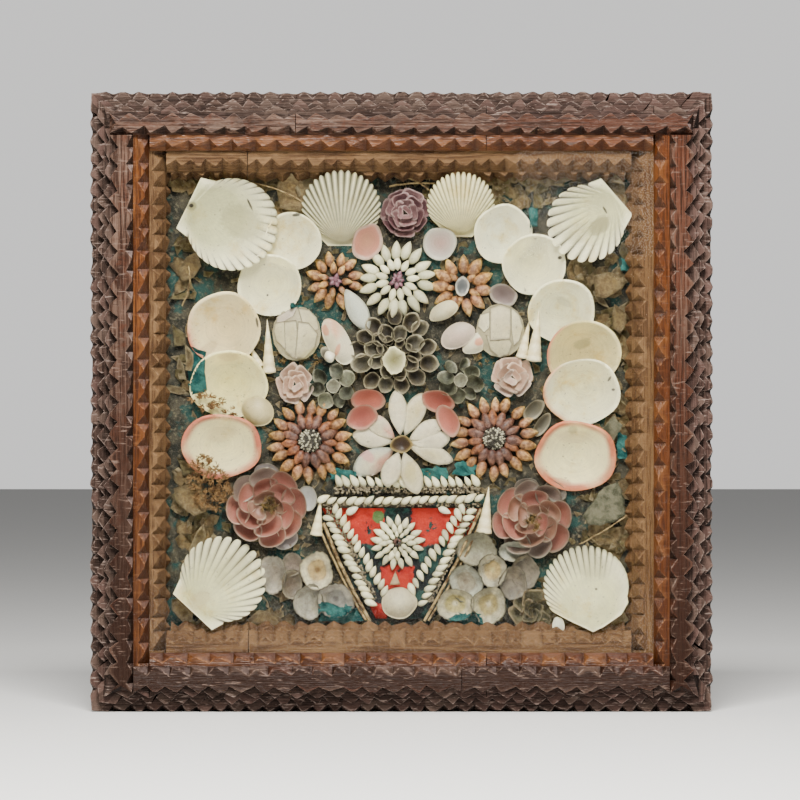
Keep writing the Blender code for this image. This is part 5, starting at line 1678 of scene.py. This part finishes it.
bead_strips = (((-58, 150), (-50, 150), (-18, 84), (-22, 78)), ((49, 151), (57, 150), (22, 78), (16, 84)),
               rectangle(-50, 161, 58, 168.5), rectangle(-58, 151.5, 58, 154.5))
bunch("urn_beads", 0, 0, "grey_shell", "", eye,
    strew(grey_bead, grey_bead, grey_finish, 0.50, bead_strips, tilt=0.5, smallest=0.6, largest=1.1, rise=5.0,
        depth=1.0, seed=142),
    strew(dark_bead, grey_bead, grey_finish, 0.10, bead_strips, tilt=0.5, smallest=0.5, largest=0.9, rise=5.4,
        depth=1.0, seed=143))


# ---------------------------------------------------------------------------------------------------
# Dry plants: flakes of papery bark and leaf tucked round the edges, reeds and twigs, curled brown
# seaweed over two shells, and moss in the hearts of the roses.
def flake(outline, bend, colour):
    """A dry flake, curled along its length, with a paler torn edge."""
    half = max(abs(x) for x, y in outline)
    return plate(outline, lambda x, y: 1.7 * bend * ((x / half) ** 2 - 0.35) + 0.05 * y,
        ringed(mix(colour, (0.0, 0.0, 0.0), 0.1), colour, mix(colour, (0.62, 0.55, 0.38), 0.30), 0.85),
        wall=0.45, rows=2, finer=2)


bark = shell_finish("dry_bark", 0.85, growth=0.70, specks=0.60, stain=0.70, relief=0.0016, mottle=0.45)
BARK_TAN, BARK_OLIVE, BARK_GREY = (0.270, 0.195, 0.100), (0.180, 0.148, 0.070), (0.205, 0.162, 0.095)
big_flake = pattern_shell(flake(((-9, -4), (-3, -7), (8, -5), (10, 1), (4, 6), (-5, 7)), 2.2, BARK_TAN))
sharp_flake = pattern_shell(flake(((-8, -3), (0, -5), (9, 1), (1, 3), (-6, 5)), 1.6, BARK_OLIVE))
strip_flake = pattern_shell(flake(((-11, -2.5), (2, -3.5), (11, 0), (3, 3), (-9, 3.5)), 2.8, BARK_GREY))
leaf_flake = pattern_shell(flake(((-11, 0), (-5, -5), (4, -6), (12, 0), (4, 5), (-5, 6)), 2.4, BARK_TAN))
EDGES = (rectangle(-167, 225, -152, 352), rectangle(-112, 364, -62, 401), rectangle(68, 372, 112, 401),
         rectangle(148, 236, 168, 398), rectangle(108, 296, 150, 340), rectangle(140, 112, 168, 232),
         rectangle(-167, 118, -140, 182), rectangle(-167, 60, -92, 72), rectangle(-102, 62, -84, 92),
         rectangle(84, 60, 128, 92), rectangle(148, 60, 168, 78), rectangle(-167, 384, -140, 401))
bark_flakes = join_pieces("bark_flakes",
    [strew(big_flake, sharp_flake, bark, 0.0090, EDGES, tilt=0.22, smallest=0.55, largest=1.10, rise=1.0,
            depth=2.0, seed=151),
        strew(strip_flake, leaf_flake, bark, 0.0090, EDGES, tilt=0.26, smallest=0.55, largest=1.00, rise=1.5,
            depth=2.5, seed=152),
        strew(sharp_flake, strip_flake, bark, 0.0060, (rectangle(-160, 60, 160, 400),), tilt=0.3,
            smallest=0.35, largest=0.7, rise=0.3, depth=1.0, seed=153)])
chosen_flakes = []
for x, z, rise, turn, tilt, toward, size, shape in (
        (-82, 383, 9, 100, 18, 30, 1.7, big_flake), (-68, 392, 10, 40, 20, 90, 1.2, strip_flake),
        (152, 316, 13, 20, 16, 200, 1.35, big_flake), (160, 352, 11, 35, 20, 120, 1.0, sharp_flake),
        (149, 336, 9, -70, 14, 30, 0.9, big_flake), (148, 305, 7, -50, 18, 200, 0.8, strip_flake),
        (136, 331, 6, 80, 20, 20, 0.8, strip_flake), (161, 290, 8, 100, 26, 10, 1.0, leaf_flake),
        (-156, 158, 10, -50, 12, 220, 1.5, big_flake), (-150, 128, 9, 70, 20, 60, 1.2, strip_flake),
        (-157, 329, 9, 60, 24, 30, 1.2, leaf_flake), (-158, 262, 8, 100, 30, 0, 1.0, strip_flake),
        (-100, 66, 9, -8, 14, 90, 1.35, leaf_flake), (-162, 76, 9, -60, 14, 200, 1.1, big_flake),
        (-152, 62, 9, -20, 24, 250, 1.0, sharp_flake), (88, 78, 9, 60, 20, 100, 0.9, leaf_flake),
        (160, 68, 9, 20, 20, 300, 0.9, big_flake), (153, 396, 13, -20, 24, 60, 1.3, strip_flake),
        (163, 246, 9, 80, 20, 0, 1.0, leaf_flake), (118, 394, 9, 10, 20, 90, 1.1, strip_flake)):
    mesh = shape.data.copy()
    mesh.transform(Matrix.Scale(size, 4))
    chosen_flakes.append(laid(mesh, seat(x, z, rise, turn, tilt, toward), bark))


def skyline(*pieces):
    """How far above the board the front of some pieces is, in millimetres, at a place."""
    trees = [BVHTree.FromPolygons([vert.co for vert in piece.data.vertices],
            [face.vertices for face in piece.data.polygons])
        for piece in pieces]

    def rise(x, z, bare=0.8):
        hits = [tree.ray_cast(Vector((x * MM, -0.1, z * MM)), Vector((0.0, 1.0, 0.0)))[0] for tree in trees]
        return max([(BOARD_FRONT - hit.y) / MM for hit in hits if hit], default=bare)
    return rise


def cleared(piece, over):
    """Take out the loose parts of a piece that a shell hides or that would poke through one."""
    mesh = bmesh.new()
    mesh.from_mesh(piece.data)
    mesh.verts.ensure_lookup_table()
    seen, unwanted = set(), []
    for root in mesh.verts:
        if root in seen:
            continue
        part, edge_of_part = [], [root]
        seen.add(root)
        while edge_of_part:
            vert = edge_of_part.pop()
            part.append(vert)
            for edge in vert.link_edges:
                other = edge.other_vert(vert)
                if other not in seen:
                    seen.add(other)
                    edge_of_part.append(other)
        shell_rises = [over(vert.co.x / MM, vert.co.z / MM, 0.0) for vert in part]
        if min(shell_rises) > 0.2 or any(rise > 0.9 and (BOARD_FRONT - vert.co.y) / MM > rise - 1.6
                for rise, vert in zip(shell_rises, part)):
            unwanted.extend(part)
    bmesh.ops.delete(mesh, geom=unwanted, context="VERTS")
    mesh.to_mesh(piece.data)
    mesh.free()


bark_flakes.data.transform(seat(0, 0))
bark_flakes = join_pieces("bark_flakes", [bark_flakes, *chosen_flakes])
big_shells = skyline(*disc_runs, *scallop_pieces, limpets)
cleared(bark_flakes, big_shells)
keep(bark_flakes, "raw_wood")


def bowed_thread():
    tree, given = geometry_tree("thread", ("Wobble", "Radius"), Int=("Segments",),
        Vector=("Start", "End", "Bow"))
    path = plug(tree, "GeometryNodeCurvePrimitiveLine", {"Start": given["Start"], "End": given["End"]})
    path = plug(tree, "GeometryNodeResampleCurve", {"Curve": path, "Count": given["Segments"]})
    share = plug(tree, "GeometryNodeSplineParameter")
    wobble = plug(tree, "ShaderNodeTexNoise", {"W": share * 6.0 + given["Seed"], "Scale": 1.0}, "Color",
                  noise_dimensions="1D")
    wobble = vector_maths("SUBTRACT", wobble, (0.5, 0.5, 0.5))
    bow, wobble = (plug(tree, "ShaderNodeVectorMath", {0: way, "Scale": size}, operation="SCALE")
        for way, size in ((given["Bow"], maths("SINE", share * math.pi)), (wobble, given["Wobble"])))
    path = plug(tree, "GeometryNodeSetPosition",
        {"Geometry": path, "Offset": vector_maths("ADD", bow, wobble)})
    ring = plug(tree, "GeometryNodeCurvePrimitiveCircle", {"Resolution": 5, "Radius": given["Radius"]})
    return end_tree(plug(tree, "GeometryNodeCurveToMesh", {
        "Curve": path, "Profile Curve": ring, "Fill Caps": True}), given["Material"])


thread_tree = bowed_thread()


def thread(start, end, radius, bow, seed):
    """A reed or twig that bows out between its ends and wavers a little."""
    return grow(thread_tree, {"Start": start, "End": end, "Bow": bow, "Wobble": 1.5, "Radius": float(radius),
                              "Segments": 14, "Seed": seed, "Material": reed})


def plant_finish(name, dark, light, scale=220.0):
    """Dry plant stuff: two colours in fine uneven patches."""
    return patchy(name, 0.8, 0.2, dark, light, patches=(scale, 3.0, 0.6), fine=(3 * scale, 3.0, 0.6),
        relief=0.0006)


reed = plant_finish("dry_reed", (0.085, 0.050, 0.022), (0.330, 0.245, 0.110))
seaweed = plant_finish("brown_seaweed", (0.080, 0.040, 0.016), (0.300, 0.180, 0.072))
moss = plant_finish("dry_moss", (0.040, 0.026, 0.010), (0.230, 0.150, 0.050))
bunch("reeds_and_twigs", 0, 0, "raw_wood", "", *(thread(*values) for values in (
    ((-58.0, 139, 6.0), (-23.5, 66.5, 6.5), 1.50, (-1.5, -1.0, 0), 1),
    ((-60.4, 134, 5.4), (-26.5, 66.5, 6.0), 1.00, (-1.0, -1.0, 0), 2),
    ((-55.0, 143, 5.8), (-30.0, 92.0, 7.0), 0.5, (1.5, 0.6, 0), 3),
    ((58.8, 149.5, 7.0), (17.0, 66.5, 7.6), 1.20, (1.4, -1.0, 0), 4),
    ((60.0, 143, 5.6), (20.0, 66.5, 6.6), 0.8, (1.6, -1.2, 0), 5),
    ((131.7, 123.2, 6.0), (168.0, 145.4, 11.0), 0.5, (0, -1.0, 3.0), 6),
    ((-9, 389.0, 5.0), (26, 391.0, 6.0), 0.7, (0, 1.2, 1.5), 7),
    ((2, 396.0, 5.0), (21, 386.0, 6.0), 0.5, (0, 1.2, 1.5), 8),
    ((-112, 392.0, 6.0), (-66, 372.0, 7.0), 0.5, (3, 2.0, 3.0), 9),
    ((-98, 66, 5.0), (-88, 78, 9.0), 0.4, (2, 1.0, 2.0), 10),
    ((-163, 300, 5.0), (-158, 330, 9.0), 0.5, (3, 0.0, 2.0), 12))))


def sprig(branches, length, radius, seed):
    """A little forked sprig: thin tapering branches out of one root."""
    mesh = bmesh.new()
    for number in range(branches):
        swing = 2.4 * number + seed
        rise = 0.45 + 0.5 * ((number * 0.37 + 0.13 * seed) % 1.0)
        way = Vector((math.cos(swing) * (1.2 - rise), math.sin(swing) * (1.2 - rise), rise)).normalized()
        reach = length * (0.6 + 0.4 * ((number * 0.61) % 1.0))
        for root, direction, share in ((Vector((0, 0, 0)), way, 1.0),
                (way * reach * 0.5, (way + Vector((way.y, -way.x, 0.25))).normalized(), 0.55)):
            lean = direction.to_track_quat("Z", "Y").to_matrix().to_4x4()
            place = Matrix.Translation(root + direction * reach * share / 2) @ lean
            bmesh.ops.create_cone(mesh, cap_ends=True, segments=4, radius1=radius * share,
                radius2=radius * 0.45 * share, depth=reach * share, matrix=place)
    return finished("sprig", mesh)


open_sprig = pattern_shell(sprig(6, 7.0, 0.5, 1))
curled_sprig = pattern_shell(sprig(7, 5.0, 0.42, 3))


def oval_patch(x, z, across, up):
    return [(x + px, z + pz) for px, pz in oval(across, up, 12)]


bunch("seaweed_and_moss", 0, 0, "raw_wood", "",
    strew(open_sprig, curled_sprig, seaweed, 0.085,
        (oval_patch(-144, 229, 26, 12), oval_patch(-126, 222, 12, 6)), tilt=0.9, smallest=0.6, largest=1.2,
        rise=6.0, depth=3.0, seed=161),
    strew(curled_sprig, open_sprig, seaweed, 0.16,
        (((-158, 184), (-146, 192), (-130, 176), (-124, 160), (-136, 150), (-152, 150)),), tilt=0.9,
        smallest=0.5, largest=1.0, rise=9.0, depth=6.0, seed=162),
    strew(curled_sprig, open_sprig, moss, 0.26, (oval_patch(-98, 152, 13, 12),), tilt=0.8, smallest=0.4,
        largest=0.75, rise=14.0, depth=2.0, seed=163),
    strew(curled_sprig, open_sprig, moss, 0.26, (oval_patch(98, 139, 12, 11),), tilt=0.8, smallest=0.4,
        largest=0.75, rise=14.0, depth=2.0, seed=164),
    strew(curled_sprig, open_sprig, moss, 0.05,
        (rectangle(-92, 252, -60, 264), rectangle(56, 258, 90, 266), rectangle(20, 160, 60, 182),
            rectangle(-60, 176, -34, 186)),
        tilt=0.8, smallest=0.4, largest=0.9, rise=1.0, depth=2.0, seed=165))


# ---------------------------------------------------------------------------------------------------
# Cloth and leaves: torn scraps of teal cloth pasted over a few shells, a rough grey-green leaf and a
# folded leaf bundle.
def ragged(outline, jag, seed):
    """The outline with a torn, uneven edge."""
    torn = []
    for n, (px, py) in enumerate(outline):
        nx, ny = outline[(n + 1) % len(outline)]
        for s in range(4):
            wave = jag * math.sin(2.6 * (4 * n + s) + seed) * (
                0.4 + 0.6 * math.sin(1.7 * (4 * n + s) + 2 * seed))
            spot = Vector((px + (nx - px) * s / 4, py + (ny - py) * s / 4))
            torn.append(tuple(spot + spot.normalized() * wave))
    return torn


teal_cloth = patchy("teal_cloth", 0.85, 0.2, (0.012, 0.085, 0.080), (0.055, 0.200, 0.175),
    patches=(130.0, 4.0, 0.6), fine=(700.0, 3.0, 0.6), relief=0.0010)
scraps = []
for x, z, outline, jag, lift, seed in (
        (-151, 251, ((-6, -17), (7, -14), (5, 0), (6, 15), (-6, 19), (-8, 0)), 1.0, 0.8, 1),
        (-42.0, 74.0, ((-20, -8), (19, -8), (16, -1), (8, 2), (2, 4), (-4, 3), (-9, 5), (-15, 7), (-20, 4)),
            2.6, 2.4, 2),
        (47.5, 68.5, ((-14, -5), (14, -5), (12, 2), (6, 5), (0, 3), (-6, 4), (-12, 0)), 2.4, 2.4, 3),
        (163.5, 196.0, ((-4, -9), (4, -10), (4, 8), (-3, 10)), 1.6, 5.0, 4),
        (166.5, 331.0, ((-3, -4), (3, -5), (3, 4), (-3, 5)), 1.2, 4.0, 7),
        (46.3, 179.2, ((-9, -4), (8, -5), (10, 2), (4, 6), (-5, 5)), 1.8, 6.0, 8),
        (23.5, 176.0, ((-12, -4), (12, -4), (11, 3), (2, 5), (-10, 3)), 1.8, 4.0, 9),
        (-44.0, 174.5, ((-10, -3), (10, -4), (11, 3), (-8, 5)), 1.8, 4.0, 10),
        (-78.0, 296.0, ((-5, -5), (5, -6), (5, 5), (-4, 6)), 1.8, 5.0, 11),
        (98.0, 366.0, ((-3, -8), (3, -7), (3, 7), (-3, 8)), 1.4, 4.0, 12)):
    def drape(px, py):
        """How high the scrap lies over the shells below it."""
        return big_shells(x + px, z + py) + lift + 0.6 * math.sin(0.5 * px + 0.8 * py)

    mesh = plate(ragged(outline, jag, seed), drape, lambda reach, share: (0.03, 0.2, 0.18), wall=0.4, rows=6,
        finer=2)
    scraps.append(laid(mesh, seat(x, z), teal_cloth))
keep(join_pieces("teal_cloth_scraps", scraps), "teal_paper")
leaf_finish = plant_finish("grey_green_leaf", (0.085, 0.088, 0.052), (0.205, 0.195, 0.125), 160.0)
torn_leaf = ragged(((-15.6, -9.9), (-11.5, -17.2), (7.2, -15.1), (16.5, -8.9), (16.5, 3.6), (11.3, 16),
    (2, 12.9), (-3.2, 7.7)), 1.1, 5)
leaf_pieces = []
for x, z, rise, turn, tilt, toward, outline in (
        (149.4, 154.0, 10.5, 0, 14, 240, torn_leaf),
        (147.0, 387.0, 11.0, -40, 24, 60, ((-10, -4), (8, -5), (10, 3), (-6, 6))),
        (156.0, 208.0, 9.0, 60, 24, 20, ((-10, -5), (8, -6), (10, 4), (-6, 7)))):
    mesh = plate(outline, lambda x, y: 2.0 * math.cos(0.11 * (x + y)) + 0.01 * x * y,
        lambda reach, share: (0.1, 0.1, 0.06), wall=0.6, rows=6, finer=4)
    leaf_pieces.append(laid(mesh, seat(x, z, rise, turn, tilt, toward), leaf_finish))
keep(join_pieces("grey_green_leaves", leaf_pieces), "teal_paper")
curled_leaf = curved_shard(13.0, 17.0, 4.5, (0.150, 0.140, 0.080), (0.240, 0.210, 0.125),
    (0.420, 0.330, 0.200), 0.86)
dull_leaf = curved_shard(12.0, 14.0, 3.5, (0.130, 0.125, 0.075), (0.200, 0.185, 0.110), (0.330, 0.280, 0.170),
    0.84)
bunch("curled_leaf_bundle", 97.0, 73.0, "raw_wood", "",
    petal_ring(curled_leaf, dull_leaf, bark, 6, 11.5, 5.0, 30, 14, start=20, size=0.95, uneven=1.2, seed=181),
    petal_ring(dull_leaf, curled_leaf, bark, 4, 5.5, 9.0, 52, 16, start=60, size=0.80, uneven=1.2, seed=182),
    petal_ring(dull_leaf, dull_leaf, bark, 2, 2.0, 10.0, 66, start=10, size=0.60, uneven=1.5, seed=183))


# ---------------------------------------------------------------------------------------------------
# Glass: one pane of thin old window glass, held in the rebate behind the ledge.
clear = bpy.data.materials.new("clear_glass")
clear.use_nodes = True
clear_shader = clear.node_tree.nodes["Principled BSDF"]
for socket, value in (("Base Color", (0.97, 0.985, 0.975, 1.0)), ("Roughness", 0.02), ("IOR", 1.45),
                      ("Transmission Weight", 1.0), ("Alpha", 0.12), ("Metallic", 0.0)):
    clear_shader.inputs[socket].default_value = value
dress("glass_pane", clear)

# The loose shells that the trees copied are no part of the box
for shape in patterns:
    shape_mesh = shape.data
    bpy.data.objects.remove(shape)
    bpy.data.meshes.remove(shape_mesh)


# ---------------------------------------------------------------------------------------------------
# Bring the scene up to date.
bpy.context.view_layer.update()
